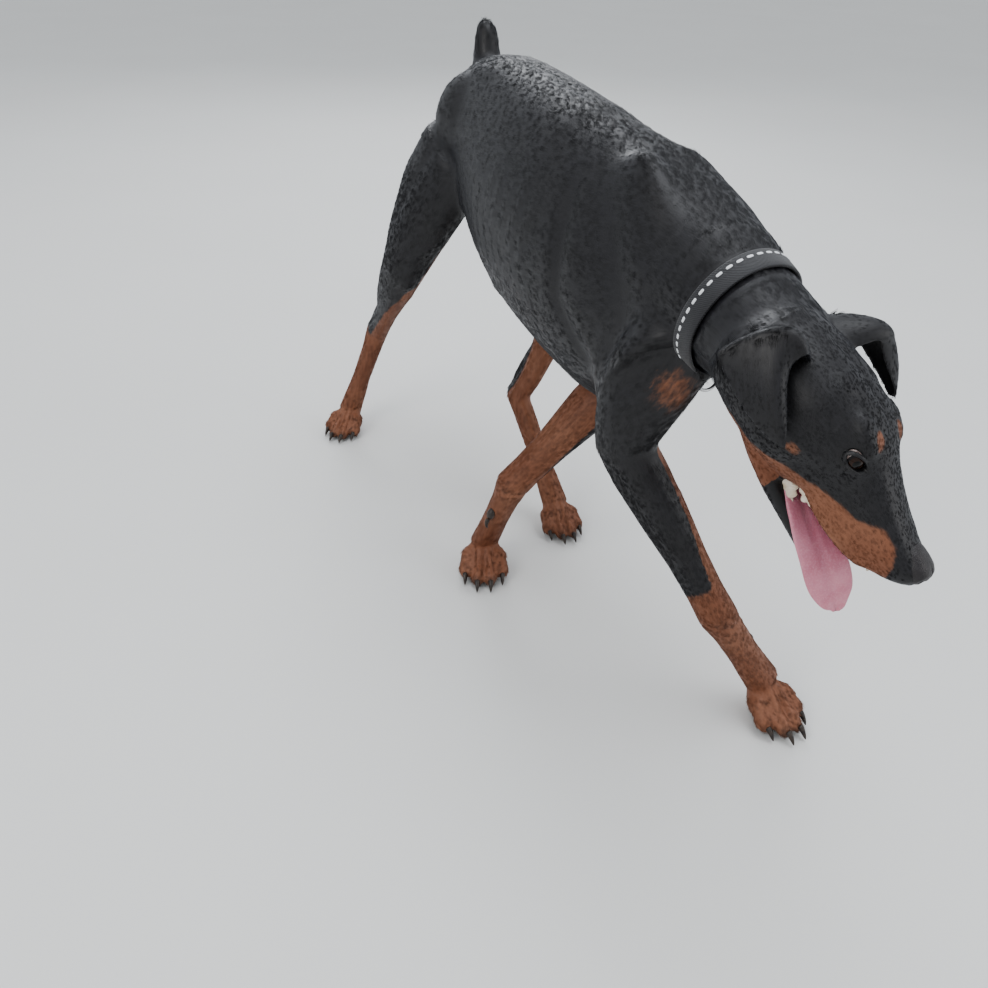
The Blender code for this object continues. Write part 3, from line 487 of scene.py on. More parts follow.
def add_head(mesh):
    add_head_loft(mesh, SKULL, HEAD)
    add_head_loft(mesh, LOWER_JAW, JAW)
    for hand in (-1, 1):
        muscle(mesh, head_point(23 * hand, -92, -5), head_point(26 * hand, -132, -13), 0.012, 0.009,
               HEAD_SIDE)
        muscle(mesh, head_point(40 * hand, -34, -60), head_point(43 * hand, -100, -56), 0.017, 0.032,
               HEAD_SIDE)
        muscle(mesh, head_point(29 * hand, -128, -76), head_point(23 * hand, -206, -76), 0.0055, 0.0125,
               HEAD_SIDE, 1.1)
        muscle(mesh, head_point(32 * hand, -112, -30), head_point(25 * hand, -142, -32), 0.0125, 0.0145,
               HEAD_SIDE)


# Legs

def side_of(turn):
    angle = math.radians(turn)
    return Vector((math.cos(angle), math.sin(angle), 0))


def foreleg_rows(hand):
    shoulder = joint("shoulder_" + hand)
    elbow = joint("elbow_" + hand)
    wrist = joint("wrist_" + hand)
    paw = joint("forepaw_" + hand)
    heading = Vector(PAW_HEADINGS["forepaw_" + hand] + (0,)).normalized()
    heel = paw - heading * 0.012 + UP * 0.010
    back = -heading
    return stations((
        (shoulder, elbow, back, ((0.0, 42, 50, 4), (0.5, 41, 50, 10), (0.85, 34, 40, 8))),
        (elbow, wrist, back, ((0.02, 31, 37, 6), (0.2, 30, 35, 4), (0.42, 27, 31, 3), (0.66, 23, 25, 2),
                              (0.86, 22, 23, 2), (1.0, 23.5, 24, 2))),
        (wrist, heel, back, ((0.22, 21, 19, 0), (0.55, 20.5, 17.5, 0), (1.0, 24, 18, 0))),
    ))


def hindleg_rows(hand):
    hip = joint("hip_" + hand)
    knee = joint("knee_" + hand)
    hock = joint("hock_" + hand)
    paw = joint("hindpaw_" + hand)
    heading = Vector(PAW_HEADINGS["hindpaw_" + hand] + (0,)).normalized()
    heel = paw - heading * 0.012 + UP * 0.008
    back = Vector((0, 1, 0))
    return stations((
        (hip, knee, back, ((0.0, 46, 74, 4), (0.35, 47, 76, 12), (0.7, 41, 62, 12), (0.94, 34, 44, 4))),
        (knee, hock, back, ((0.16, 30, 39, 5), (0.36, 25, 32, 3), (0.6, 18.5, 25, -1), (0.82, 15.5, 22, -3),
                            (1.0, 18, 25, 3))),
        (hock, heel, back, ((0.22, 16.5, 19.5, 0), (0.55, 16, 16.5, 0), (1.0, 21, 16, 0))),
    ))


def add_foreleg(mesh, hand):
    sign = 1 if hand == "left" else -1
    side = side_of(14)
    limb(mesh, foreleg_rows(hand), side)
    blade = joint("shoulder_blade_" + hand)
    shoulder = joint("shoulder_" + hand)
    elbow = joint("elbow_" + hand)
    wrist = joint("wrist_" + hand)
    back = Vector((0.1, 1, 0)).normalized()
    outward = side * sign
    muscle(mesh, blade, shoulder, 0.024, 0.050, side, 1.25)
    muscle(mesh, blade.lerp(shoulder, 0.45) + back * 0.075 + outward * 0.010, elbow + back * 0.006,
           0.027, 0.044, side, 1.1)
    muscle(mesh, shoulder + UP * 0.045, shoulder - UP * 0.04 + back * 0.02, 0.036, 0.040, side)
    muscle(mesh, elbow + back * 0.030 + UP * 0.020, elbow + back * 0.022 - UP * 0.012, 0.014, 0.014, side)
    muscle(mesh, elbow, elbow.lerp(wrist, 0.5), 0.026, 0.032, side, 1.1)


def add_hindleg(mesh, hand):
    sign = 1 if hand == "left" else -1
    side = side_of(-4)
    limb(mesh, hindleg_rows(hand), side)
    hip = joint("hip_" + hand)
    knee = joint("knee_" + hand)
    hock = joint("hock_" + hand)
    back = Vector((0, 1, 0))
    outward = side * sign
    rump = joint("croup") + outward * 0.040 - UP * 0.045
    muscle(mesh, rump, hip + back * 0.03, 0.038, 0.060, side, 1.15)
    seat = joint("tail_base") + outward * 0.036 - UP * 0.050
    muscle(mesh, seat, knee.lerp(hock, 0.28) + back * 0.012, 0.032, 0.044, side, 1.05)
    muscle(mesh, hip - back * 0.028, knee + back * 0.004, 0.038, 0.046, side, 1.12)
    muscle(mesh, knee - back * 0.020 + UP * 0.016, knee - back * 0.022 - UP * 0.022, 0.020, 0.020, side)
    heel = hock + (hock - knee).normalized() * 0.002 + back * 0.026 + UP * 0.010
    muscle(mesh, heel, hock + back * 0.004 - UP * 0.012, 0.0115, 0.0125, side, 1.3)
    muscle(mesh, knee.lerp(hock, 0.45) + back * 0.020, heel, 0.0075, 0.009, side, 1.1)


# lateral place, reach ahead of the paw's middle, of each toe
TOES = ((-25, 26), (-9, 41), (9, 41), (25, 26))


def paw_frame(name):
    heading = Vector(PAW_HEADINGS[name] + (0,)).normalized()
    left = UP.cross(heading)
    middle = joint(name)
    middle.z = 0
    return Matrix.Translation(middle) @ Matrix((left, -heading, UP)).transposed().to_4x4()


def paw_size(name):
    return 1.0 if name.startswith("fore") else 0.92


def add_paw(mesh, name):
    place = paw_frame(name)
    side = place.to_3x3() @ Vector((1, 0, 0))
    size = paw_size(name)

    def spot(x, y, z):
        return place @ (Vector((x * size, -y * size, z * size)) * MM)

    muscle(mesh, spot(0, -22, 30), spot(0, 18, 26), 0.027 * size, 0.019 * size, side, 1.2)
    muscle(mesh, spot(0, -16, 9), spot(0, 8, 8), 0.021 * size, 0.011 * size, side, 1.2)
    for across, reach in TOES:
        muscle(mesh, spot(across * 0.80, -8, 29), spot(across * 1.02, reach * 0.62, 24),
               0.0112 * size, 0.0125 * size, side, 1.35)
        muscle(mesh, spot(across * 1.0, reach * 0.5, 24), spot(across * 1.06, reach * 1.10, 9),
               0.0108 * size, 0.0120 * size, side, 1.45)


def add_tail(mesh):
    base = joint("tail_base")
    rows = (
        (base + Vector((0, -0.006, -0.045)), 0.026, 0.028),
        (base + Vector((0, 0.000, -0.010)), 0.023, 0.025),
        (base + Vector((0, 0.004, 0.018)), 0.0195, 0.021),
        (base + Vector((0, 0.006, 0.034)), 0.0180, 0.0190),
        (base + Vector((0, 0.008, 0.048)), 0.015, 0.016),
        (base + Vector((0, 0.009, 0.055)), 0.008, 0.008),
    )
    limb(mesh, rows, Vector((1, 0, 0)))


# Ears

EARS = {
    "left": {
        "root": ((31, -48, -16), (33, -24, -14), (30, 0, -32)),
        "fold": ((61, -55, 5), (81, -46, 9), (95, -16, -26)),
        "tip": (85, -99, -25),
        "edge": (97, -67, -28),
        "curl": 4,
    },
    "right": {
        "root": ((31, -48, -16), (33, -24, -14), (30, 0, -32)),
        "fold": ((62, -42, 5), (70, -14, 2), (88, -1, -44)),
        "tip": (78, -90, -47),
        "edge": (85, -49, -51),
        "curl": 11,
    },
}
EAR_COLUMNS = 28
EAR_ROWS = 44
FOLD_SHARE = 0.36


def bend(first, middle, last, share):
    """A point of the quadratic curve that passes its middle point half way."""
    control = middle * 2 - (first + last) / 2
    return first * (1 - share) ** 2 + control * 2 * share * (1 - share) + last * share ** 2


def ear_point(hand, across, along):
    """A point of the ear's sheet; along runs from root (0) over the fold to the tip (1)."""
    mirror = 1 if hand == "left" else -1
    marks = EARS[hand]
    root = bend(*(Vector(point) for point in marks["root"]), across)
    fold = bend(*(Vector(point) for point in marks["fold"]), across)
    tip = Vector(marks["tip"])
    edge = Vector(marks["edge"])
    if along < FOLD_SHARE:
        share = along / FOLD_SHARE
        crown = (root + fold) / 2 + Vector((2, 2, 9)) * math.sin(math.pi * across * 0.8 + 0.3)
        spot = bend(root, crown, fold, share)
    else:
        share = (along - FOLD_SHARE) / (1 - FOLD_SHARE)
        blunt = Vector((0, 7, -6)) * (across - 0.5)
        belly = (edge - (Vector(marks["fold"][2]) + tip) / 2) * across ** 1.5
        puff = Vector((7, 0, 2)) * math.sin(math.pi * across)
        spot = fold.lerp(tip + blunt, share) + (belly + puff) * 4 * share * (1 - share)
        spot += Vector((0, 1, -0.4)) * (marks["curl"] * (1 - across) ** 2 * 6.75 * share * (1 - share) ** 2)
    return HEAD @ (Vector((spot.x * mirror, spot.y, spot.z)) * MM)


def ear_sheet(hand):
    """The ear's middle sheet, column by column and row by row."""
    shape = bmesh.new()
    shares = [(i / EAR_COLUMNS, j / EAR_ROWS) for j in range(EAR_ROWS + 1) for i in range(EAR_COLUMNS + 1)]
    verts = [shape.verts.new(ear_point(hand, *share)) for share in shares]
    width = EAR_COLUMNS + 1
    for j in range(EAR_ROWS):
        for i in range(EAR_COLUMNS):
            low = j * width + i
            shape.faces.new((verts[low], verts[low + 1], verts[low + 1 + width], verts[low + width]))
    bmesh.ops.recalc_face_normals(shape, faces=shape.faces)
    return shape


def ear_wall(hand):
    shape = ear_sheet(hand)
    mesh = bpy.data.meshes.new("ear")
    shape.to_mesh(mesh)
    shape.free()
    ear = new_object("ear", mesh)
    wall = ear.modifiers.new("wall", "SOLIDIFY")
    wall.thickness = EAR_THICKNESS
    wall.offset = 0
    wall.use_even_offset = False
    apply_modifiers(ear)
    mesh = ear.data
    bpy.data.objects.remove(ear)
    return mesh


# The fused skin

def zones(points):
    """Masks of the vertices that belong to the head and to the paws."""
    local = head_local(points)
    lowest = np.interp(local[:, 1], (-110, -80), (-240, -128))
    head = (local[:, 1] < 0.0) & (np.abs(local[:, 0]) < 110) & (local[:, 2] > lowest) & (local[:, 2] < 80)
    paws = (points[:, 2] < 0.075) & ~head
    return head, paws


def head_local(points):
    """Points in the head's own frame, in millimetres."""
    return (points - np.array(OCCIPUT)) @ np.array(HEAD.to_3x3()) / MM


def segment_share(points, start, end):
    """Distance of points from a straight segment, and the share along it of the nearest place."""
    start = np.array(start)
    axis = np.array(end) - start
    share = np.clip((points - start) @ axis / (axis @ axis), 0, 1)
    return np.linalg.norm(points - start - share[:, None] * axis, axis=1), share


def snap_path(tree, path, count=14):
    """Points of a smooth path, each moved onto the skin."""
    knots = [Vector(point) for point in path]
    snapped = []
    for step in range(count + 1):
        place = step / count * (len(knots) - 1)
        number = min(int(place), len(knots) - 2)
        spot = knots[number].lerp(knots[number + 1], place - number)
        snapped.append(tree.find_nearest(spot)[0])
    return snapped


def stroke_heights(points, snapped, width, height):
    """How far each vertex rises beside one stroke of the modelling tool, fading out at both ends."""
    path = np.array(snapped)
    low = path.min(axis=0) - width * 3
    high = path.max(axis=0) + width * 3
    near = np.flatnonzero(((points > low) & (points < high)).all(axis=1))
    best = np.full(len(near), 1e9)
    fade = np.ones(len(near))
    last = len(path) - 2
    for number, (start, end) in enumerate(zip(path, path[1:])):
        distance, share = segment_share(points[near], start, end)
        run = (number + share) / (last + 1)
        closer = distance < best
        best = np.where(closer, distance, best)
        fade = np.where(closer, np.minimum(1, np.minimum(run, 1 - run) * 5 + 0.15), fade)
    heights = np.zeros(len(points))
    heights[near] = height * fade * np.exp(-(best / width) ** 2)
    return heights


def body_strokes():
    """Strokes of the modelling tool: path in metres, width and height in millimetres."""
    strokes = []
    for hand, sign in (("left", 1), ("right", -1)):
        blade = joint("shoulder_blade_" + hand)
        shoulder = joint("shoulder_" + hand)
        elbow = joint("elbow_" + hand)
        wrist = joint("wrist_" + hand)
        outward = side_of(14) * sign
        back = Vector((0.1, 1, 0)).normalized()
        out = outward * 0.07
        strokes += [
            ((blade + UP * 0.01 + out, blade.lerp(shoulder, 0.85) + out), 12, 1.0),
            ((blade + back * 0.03 + out, blade.lerp(shoulder, 0.7) + back * 0.035 + out), 13, -1.0),
            ((blade + back * 0.075 + out, blade.lerp(elbow, 0.55) + back * 0.10 + out,
              elbow + back * 0.065 + UP * 0.02 + out), 13, -3.4),
            ((shoulder + UP * 0.03 - back * 0.01 + out, shoulder.lerp(elbow, 0.6) + back * 0.012 + out),
             8, -1.8),
            ((shoulder + back * 0.045 + UP * 0.05 + out, elbow + back * 0.03 + UP * 0.05 + out), 7, -1.2),
            ((elbow + back * 0.035 - UP * 0.02 + outward * 0.02, elbow + outward * 0.05 - UP * 0.03,
              elbow.lerp(wrist, 0.3) + outward * 0.05), 7, -1.4),
            ((elbow.lerp(wrist, 0.12) + outward * 0.05 + back * 0.004,
              elbow.lerp(wrist, 0.8) + outward * 0.04), 5, -1.3),
            ((elbow.lerp(wrist, 0.15) - outward * 0.05 - back * 0.004,
              elbow.lerp(wrist, 0.9) - outward * 0.04 - back * 0.006), 3, 1.0),
            ((elbow.lerp(wrist, 0.3) - outward * 0.04 + back * 0.02,
              elbow.lerp(wrist, 0.95) - outward * 0.04 + back * 0.014), 4, -1.4),
            ((elbow.lerp(wrist, 0.55) - back * 0.03 + outward * 0.012,
              wrist - back * 0.03 + outward * 0.006), 3.2, 0.9),
            ((wrist + outward * 0.03 - UP * 0.004, wrist - back * 0.03 - UP * 0.006,
              wrist - outward * 0.03 - UP * 0.004),
             4, -1.0),
        ]
        hip = joint("hip_" + hand)
        knee = joint("knee_" + hand)
        hock = joint("hock_" + hand)
        paw = joint("hindpaw_" + hand)
        outward = side_of(-4) * sign
        back = Vector((0, 1, 0))
        out = outward * 0.08
        strokes += [
            ((hip + UP * 0.07 - back * 0.04 + out, hip - back * 0.02 + out,
              knee + UP * 0.05 + back * 0.012 + out),
             10, -2.0),
            ((joint("tail_base") + outward * 0.06 - UP * 0.03, hip + back * 0.055 - UP * 0.02 + out,
              knee.lerp(hock, 0.12) + back * 0.05 + out), 9, -2.0),
            ((knee + UP * 0.01 - back * 0.005 + out, knee - UP * 0.03 - back * 0.012 + out), 8, -1.4),
            ((knee.lerp(hock, 0.12) + outward * 0.05 + back * 0.004, knee.lerp(hock, 0.6) + outward * 0.04),
             6, -1.4),
            ((knee.lerp(hock, 0.5) + outward * 0.03 + back * 0.014,
              hock + outward * 0.03 + back * 0.012 + UP * 0.008), 5, -2.6),
            ((knee.lerp(hock, 0.5) - outward * 0.03 + back * 0.014,
              hock - outward * 0.03 + back * 0.012 + UP * 0.008), 5, -2.6),
            ((knee.lerp(hock, 0.45) - outward * 0.04 - back * 0.004,
              hock - outward * 0.03 - back * 0.004), 2.8, 0.8),
            ((hock + outward * 0.03 - UP * 0.02, paw + outward * 0.02 + UP * 0.045), 3.5, -1.1),
            ((hock - outward * 0.03 - UP * 0.02, paw - outward * 0.02 + UP * 0.045), 3.5, -1.1),
            ((knee - back * 0.035 + UP * 0.03 + outward * 0.02, Vector((hip.x, 0.115, 0.405)),
              Vector((hip.x * 1.35, 0.05, 0.372))), 8, 2.6),
            ((hip - back * 0.09 + out - UP * 0.02, Vector((hip.x, 0.105, 0.45)) + out * 0.5,
              Vector((hip.x * 1.3, 0.03, 0.40)) + out * 0.4), 13, -2.8),
            ((joint("croup") + outward * 0.06 + UP * 0.02 - back * 0.05,
              joint("croup") + outward * 0.06 + back * 0.03), 13, 1.8),
        ]
    spine = [Vector((x, y, top + 20)) * MM for y, x, _, top, _, _, _, _ in TRUNK[4:13]]
    strokes.append((spine, 9, -1.3))
    breast = [Vector(point) * MM for point in ((35, -360, 470), (28, -345, 425), (10, -270, 360))]
    strokes.append((breast, 9, -2.2))
    return strokes


def rib_strokes():
    strokes = []
    for number in range(7):
        y = -0.105 + number * 0.028
        for sign in (-1, 1):
            x = sign * 0.13
            strokes.append(((Vector((x * 0.9, y, 0.58)), Vector((x, y + 0.020, 0.50)),
                             Vector((x * 0.9, y + 0.004, 0.41))), 7.5, 0.75))
    return strokes


def head_strokes():
    """Strokes on the head, in its own millimetres."""
    strokes = [
        (((0, -20, 12), (0, -90, 12), (0, -135, 0)), 5.5, -1.3),
        (((0, -150, -12), (0, -200, -36)), 4, -0.35),
    ]
    for hand in (-1, 1):
        strokes += [
            (((46 * hand, -118, -44), (56 * hand, -85, -48), (60 * hand, -50, -46)), 7, 1.5),
            (((40 * hand, -118, -56), (46 * hand, -100, -66), (50 * hand, -80, -74)), 6, -1.0),
            (((30 * hand, -138, -44), (27 * hand, -160, -50), (24 * hand, -190, -54)), 6, -0.9),
            (((17 * hand, -150, -20), (16 * hand, -180, -32), (15 * hand, -208, -40)), 5, 0.5),
            (((40 * hand, -112, -88), (46 * hand, -98, -84), (50 * hand, -82, -88)), 3, 1.3),
            (((42 * hand, -112, -96), (48 * hand, -98, -95), (50 * hand, -80, -98)), 3, -1.3),
            (((36 * hand, -132, -79), (32 * hand, -160, -80), (28 * hand, -190, -80)), 2.6, -0.5),
            (((20 * hand, -212, -50), (24 * hand, -196, -60), (26 * hand, -178, -66)), 8, 0.9),
            (((26 * hand, -100, 8), (32 * hand, -118, 2)), 6, 0.9),
            (((20 * hand, -60, 14), (30 * hand, -85, 6)), 9, 0.8),
            (((38 * hand, -100, -20), (40 * hand, -82, -20)), 8, -0.8),
            (((44 * hand, -20, -88), (40 * hand, -50, -104), (36 * hand, -80, -112)), 6, -1.3),
        ]
    return [([head_point(*spot) for spot in path], width, height) for path, width, height in strokes]


def neck_strokes():
    strokes = []
    for sign in (-1, 1):
        strokes += [
            ((Vector((-16 + 70 * sign, -430, 500)) * MM, Vector((-8 + 85 * sign, -370, 500)) * MM,
              Vector((80 * sign, -320, 480)) * MM), 9, 1.6),
            ((Vector((-16 + 60 * sign, -440, 480)) * MM, Vector((-8 + 75 * sign, -375, 478)) * MM,
              Vector((70 * sign, -335, 450)) * MM), 7, -1.8),
            ((Vector((-14 + 60 * sign, -420, 545)) * MM, Vector((70 * sign, -330, 570)) * MM), 10, -1.0),
        ]
    for y, z in ((-405, 575), (-395, 580)):
        strokes.append(((Vector((-60, y, z - 25)) * MM, Vector((-12, y - 4, z + 10)) * MM,
                         Vector((38, y, z - 20)) * MM), 3.5, -0.8))
    return strokes


def paw_strokes(name):
    place = paw_frame(name)
    size = paw_size(name)
    strokes = []
    for across in (-17, 0, 17):
        path = [place @ (Vector((across * share, -reach, height)) * (MM * size))
                for share, reach, height in ((0.8, -8, 46), (1.0, 22, 40), (1.05, 46, 18))]
        strokes.append((path, 3.0, -2.2))
    for across, reach in TOES:
        path = [place @ (Vector((across * 1.0 + side, -reach * 0.82, 40)) * (MM * size)) for side in (-8, 8)]
        strokes.append((path, 3.0, -0.6))
    return strokes


def sculpt(skin):
    points = vertex_array(skin.data)
    normals = normal_array(skin.data)
    tree = BVHTree.FromObject(skin, bpy.context.evaluated_depsgraph_get())
    strokes = body_strokes() + rib_strokes() + head_strokes() + neck_strokes()
    for name in PAW_HEADINGS:
        strokes += paw_strokes(name)
    rise = np.zeros(len(points))
    for path, width, height in strokes:
        rise += stroke_heights(points, snap_path(tree, path), width * MM, height * MM)
    set_points(skin.data, points + normals * rise[:, None])


LID_POINTS = 48
LID_HALF_WIDTH = math.radians(60)
LID_RISE = math.radians(30)
LID_DROP = math.radians(26)


def eye_axes(hand):
    """Centre of an eye, where it looks, the way of its slit and its own up."""
    sign = 1 if hand == "left" else -1
    turn = HEAD.to_3x3()
    gaze = (turn @ Vector((GAZE_LEFT[0] * sign, GAZE_LEFT[1], GAZE_LEFT[2]))).normalized()
    slit = turn @ Vector((0.74 * sign, 0.62, 0.10))
    slit = (slit - gaze * slit.dot(gaze)).normalized()
    upward = gaze.cross(slit)
    if upward.dot(turn @ UP) < 0:
        upward.negate()
    return head_point(EYE_CENTRE[0] * sign, *EYE_CENTRE[1:]), gaze, slit, upward


def lid_ring(hand, reach, open_share):
    centre, gaze, slit, upward = eye_axes(hand)
    ring = []
    for step in range(LID_POINTS):
        angle = 2 * math.pi * step / LID_POINTS
        across = LID_HALF_WIDTH * open_share * math.cos(angle)
        height = LID_RISE if math.sin(angle) > 0 else LID_DROP
        lift = height * open_share * math.sin(angle) * abs(math.sin(angle)) ** 0.3
        way = gaze * (math.cos(across) * math.cos(lift)) + slit * math.sin(across) + upward * math.sin(lift)
        ring.append(centre + way.normalized() * reach)
    return centre, ring


def closed_band(shape, rings):
    """Joins rings of equal count into a tube that meets its own start."""
    count = len(rings[0])
    for first, second in zip(rings, rings[1:] + rings[:1]):
        for corner in range(count):
            after = (corner + 1) % count
            shape.faces.new((first[corner], first[after], second[after], second[corner]))


def lid_rim(hand):
    """The margin of both lids, one closed tube along the almond."""
    centre, path = lid_ring(hand, EYE_RADIUS + 0.0006, 1.0)
    shape = bmesh.new()
    rings = []
    for number, point in enumerate(path):
        along = (path[(number + 1) % LID_POINTS] - path[number - 1]).normalized()
        outward = (point - centre).normalized()
        across = along.cross(outward)
        ring = []
        for step in range(10):
            angle = 2 * math.pi * step / 10
            ring.append(shape.verts.new(point + across * (math.cos(angle) * 0.0024)
                                        + outward * (math.sin(angle) * 0.0015)))
        rings.append(ring)
    closed_band(shape, rings)
    return shape_object("lid_rim", shape)


def lid_opening(hand):
    shape = bmesh.new()
    loft(shape, [lid_ring(hand, EYE_RADIUS * share, 0.86)[1] for share in (0.3, 0.7, 1.0, 1.4, 2.0)])
    return shape_object("lid_opening", shape)


def eye_socket(hand):
    shape = bmesh.new()
    centre = eye_axes(hand)[0]
    bmesh.ops.create_uvsphere(shape, u_segments=32, v_segments=20, radius=EYE_RADIUS + 0.0001,
                              matrix=Matrix.Translation(centre))
    return shape_object("socket", shape)


def thin(skin, mask, triangles):
    """Decimates only the vertices of one zone, to about the given count of triangles."""
    total = len(skin.data.polygons)
    starts, corners = face_corners(skin.data)
    chosen = int(mask[corners[starts]].sum())
    if chosen <= triangles:
        return
    group = skin.vertex_groups.new(name="zone")
    group.add([int(index) for index in np.flatnonzero(mask)], 1.0, "REPLACE")
    decimate = skin.modifiers.new("thin", "DECIMATE")
    decimate.vertex_group = group.name
    decimate.vertex_group_factor = 1
    decimate.ratio = (total - chosen + triangles) / total
    apply_modifiers(skin)
    skin.vertex_groups.clear()


def keep_largest(target):
    """Drops all but the largest closed surface."""
    mesh = target.data
    first, second, _ = neighbours(mesh)
    label = np.arange(len(mesh.vertices))
    while True:
        low = np.minimum(label[first], label[second])
        fresh = label.copy()
        np.minimum.at(fresh, first, low)
        np.minimum.at(fresh, second, low)
        fresh = fresh[fresh]
        if (fresh == label).all():
            break
        label = fresh
    names, counts = np.unique(label, return_counts=True)
    lost = np.flatnonzero(label != names[counts.argmax()])
    if len(lost) == 0:
        return
    shape = bmesh.new()
    shape.from_mesh(mesh)
    shape.verts.ensure_lookup_table()
    bmesh.ops.delete(shape, geom=[shape.verts[int(index)] for index in lost], context="VERTS")
    shape.to_mesh(mesh)
    shape.free()


SKIN_TRIANGLES = (78000, 74000, 42000)      # trunk and legs, head, paws


def fuse_skin():
    """Body, head, legs, ears and tail as one skin, relaxed, modelled, opened at the eyes and thinned."""
    cage = bmesh.new()
    add_trunk(cage)
    add_neck(cage)
    add_head(cage)
    for hand in ("left", "right"):
        add_foreleg(cage, hand)
        add_hindleg(cage, hand)
        cage.from_mesh(ear_wall(hand))
    for name in PAW_HEADINGS:
        add_paw(cage, name)
    add_tail(cage)
    mesh = bpy.data.meshes.new("skin")
    cage.to_mesh(mesh)
    cage.free()
    skin = new_object("skin", mesh)
    remesh(skin, VOXEL)

    points = vertex_array(skin.data)
    head, paws = zones(points)
    legs = (points[:, 2] < 0.30) & ~head & ~paws
    ears = ear_distance(points)[0] < 0.0035
    weights = np.where(paws, 0.25, np.where(head, 0.35, np.where(legs, 0.45, 0.6)))
    weights = np.where(ears, 0.05, weights)
    relax(skin.data, weights, 12 * ROUNDS)
    relax(skin.data, np.where(head | paws | legs, 0.0, 0.6), 18 * ROUNDS)
    points = vertex_array(skin.data)
    shoulders = (points[:, 2] > 0.55) & (points[:, 1] > -0.33) & (points[:, 1] < -0.08)
    relax(skin.data, np.where(shoulders, 0.6, 0.0), 120 * ROUNDS)
    sculpt(skin)
    points = vertex_array(skin.data)
    points -= normal_array(skin.data) * COAT_DEPTH
    points = press_collar(points)
    points[:, 2] = np.maximum(points[:, 2], 0)
    set_points(skin.data, points)

    triangulate = skin.modifiers.new("triangles", "TRIANGULATE")
    triangulate.quad_method = "SHORTEST_DIAGONAL"
    apply_modifiers(skin)
    for hand in ("left", "right"):
        combine(skin, lid_rim(hand), "UNION")
        combine(skin, lid_opening(hand), "DIFFERENCE")
        combine(skin, eye_socket(hand), "DIFFERENCE")
    keep_largest(skin)
    for index, triangles in enumerate(SKIN_TRIANGLES):
        head, paws = zones(vertex_array(skin.data))
        thin(skin, (~(head | paws), head, paws)[index], triangles)
    smooth_faces(skin)
    return skin


EAR_TREES = {}
EAR_SEARCH = 0.02


def ear_distance(points):
    """Distance to the nearer ear's sheet, and how far along the ear the nearest place lies."""
    if not EAR_TREES:
        for hand in ("left", "right"):
            shape = ear_sheet(hand)
            shape.faces.ensure_lookup_table()
            EAR_TREES[hand] = BVHTree.FromBMesh(shape)
            shape.free()
    local = head_local(points)
    distance = np.ones(len(points))
    along = np.zeros(len(points))
    for hand, sign in (("left", 1), ("right", -1)):
        near = np.flatnonzero((local[:, 0] * sign > 24) & (local[:, 1] > -112) & (local[:, 1] < 16)
                              & (local[:, 2] > -75) & (local[:, 2] < 26))
        for index in near:
            found = EAR_TREES[hand].find_nearest(Vector(points[index]), EAR_SEARCH)
            if found[0] is not None:
                distance[index] = found[3]
                along[index] = (found[2] // EAR_COLUMNS + 0.5) / EAR_ROWS
    return distance, along


def smoothstep(value, low, high):
    share = np.clip((value - low) / (high - low), 0, 1)
    return share * share * (3 - 2 * share)


def unit_rows(vectors):
    return vectors / np.maximum(np.linalg.norm(vectors, axis=1), 1e-9)[:, None]


LEG_BONES = {
    "foreleg": ("shoulder_", "elbow_", "wrist_", "forepaw_"),
    "hindleg": ("hip_", "knee_", "hock_", "hindpaw_"),
}


def leg_places(points):
    """For each vertex the nearest leg bone: how far off, how far along, to the front and inward."""
    count = len(points)
    best = np.full(count, 1e9)
    place = {name: np.zeros(count) for name in ("bone", "share", "front", "inward")}
    way = np.zeros((count, 3))
    number = 0
    for kind, names in LEG_BONES.items():
        for hand, sign in (("left", 1), ("right", -1)):
            side = np.array(side_of(14 if kind == "foreleg" else -4)) * sign
            for upper, lower in zip(names, names[1:]):
                start = np.array(joint(upper + hand))
                bone = np.array(joint(lower + hand)) - start
                axis = bone / np.linalg.norm(bone)
                outward = side - axis * (side @ axis)
                outward /= np.linalg.norm(outward)
                ahead = np.cross(axis, outward)
                if ahead[1] > 0:
                    ahead = -ahead
                distance, share = segment_share(points, start, start + bone)
                radial = unit_rows(points - start - share[:, None] * bone)
                closer = distance < best
                best = np.where(closer, distance, best)
                for name, value in (("bone", number), ("share", share), ("front", radial @ ahead),
                                    ("inward", -(radial @ outward))):
                    place[name] = np.where(closer, value, place[name])
                way[closer] = axis
                number += 1
    return best, place, way


# Upper border of the rust on the side of the head, and the edge of the upper lip, in the head's millimetres
RUST_BORDER_Y = (-224, -215, -205, -188, -178, -168, -152, -137, -117, -100, -78, -60, -30, 0)
RUST_BORDER_Z = (-66, -52, -44, -42, -48, -55, -58, -61, -69, -73, -81, -88, -98, -104)
LIP_Y = (-237, -223, -207, -186, -163, -134, -115, -100)
LIP_Z = (-60, -69, -80, -86.5, -87, -86.5, -93, -93)
JAW_SPLIT_Y = (-210, -165, -132, -112)
JAW_SPLIT_Z = (-106, -99, -93.5, -93.5)


def spot_mask(points, centre, radii):
    distance = np.linalg.norm((points - np.array(centre)) / np.array(radii), axis=1)
    return 1 - smoothstep(distance, 0.45, 1.35)


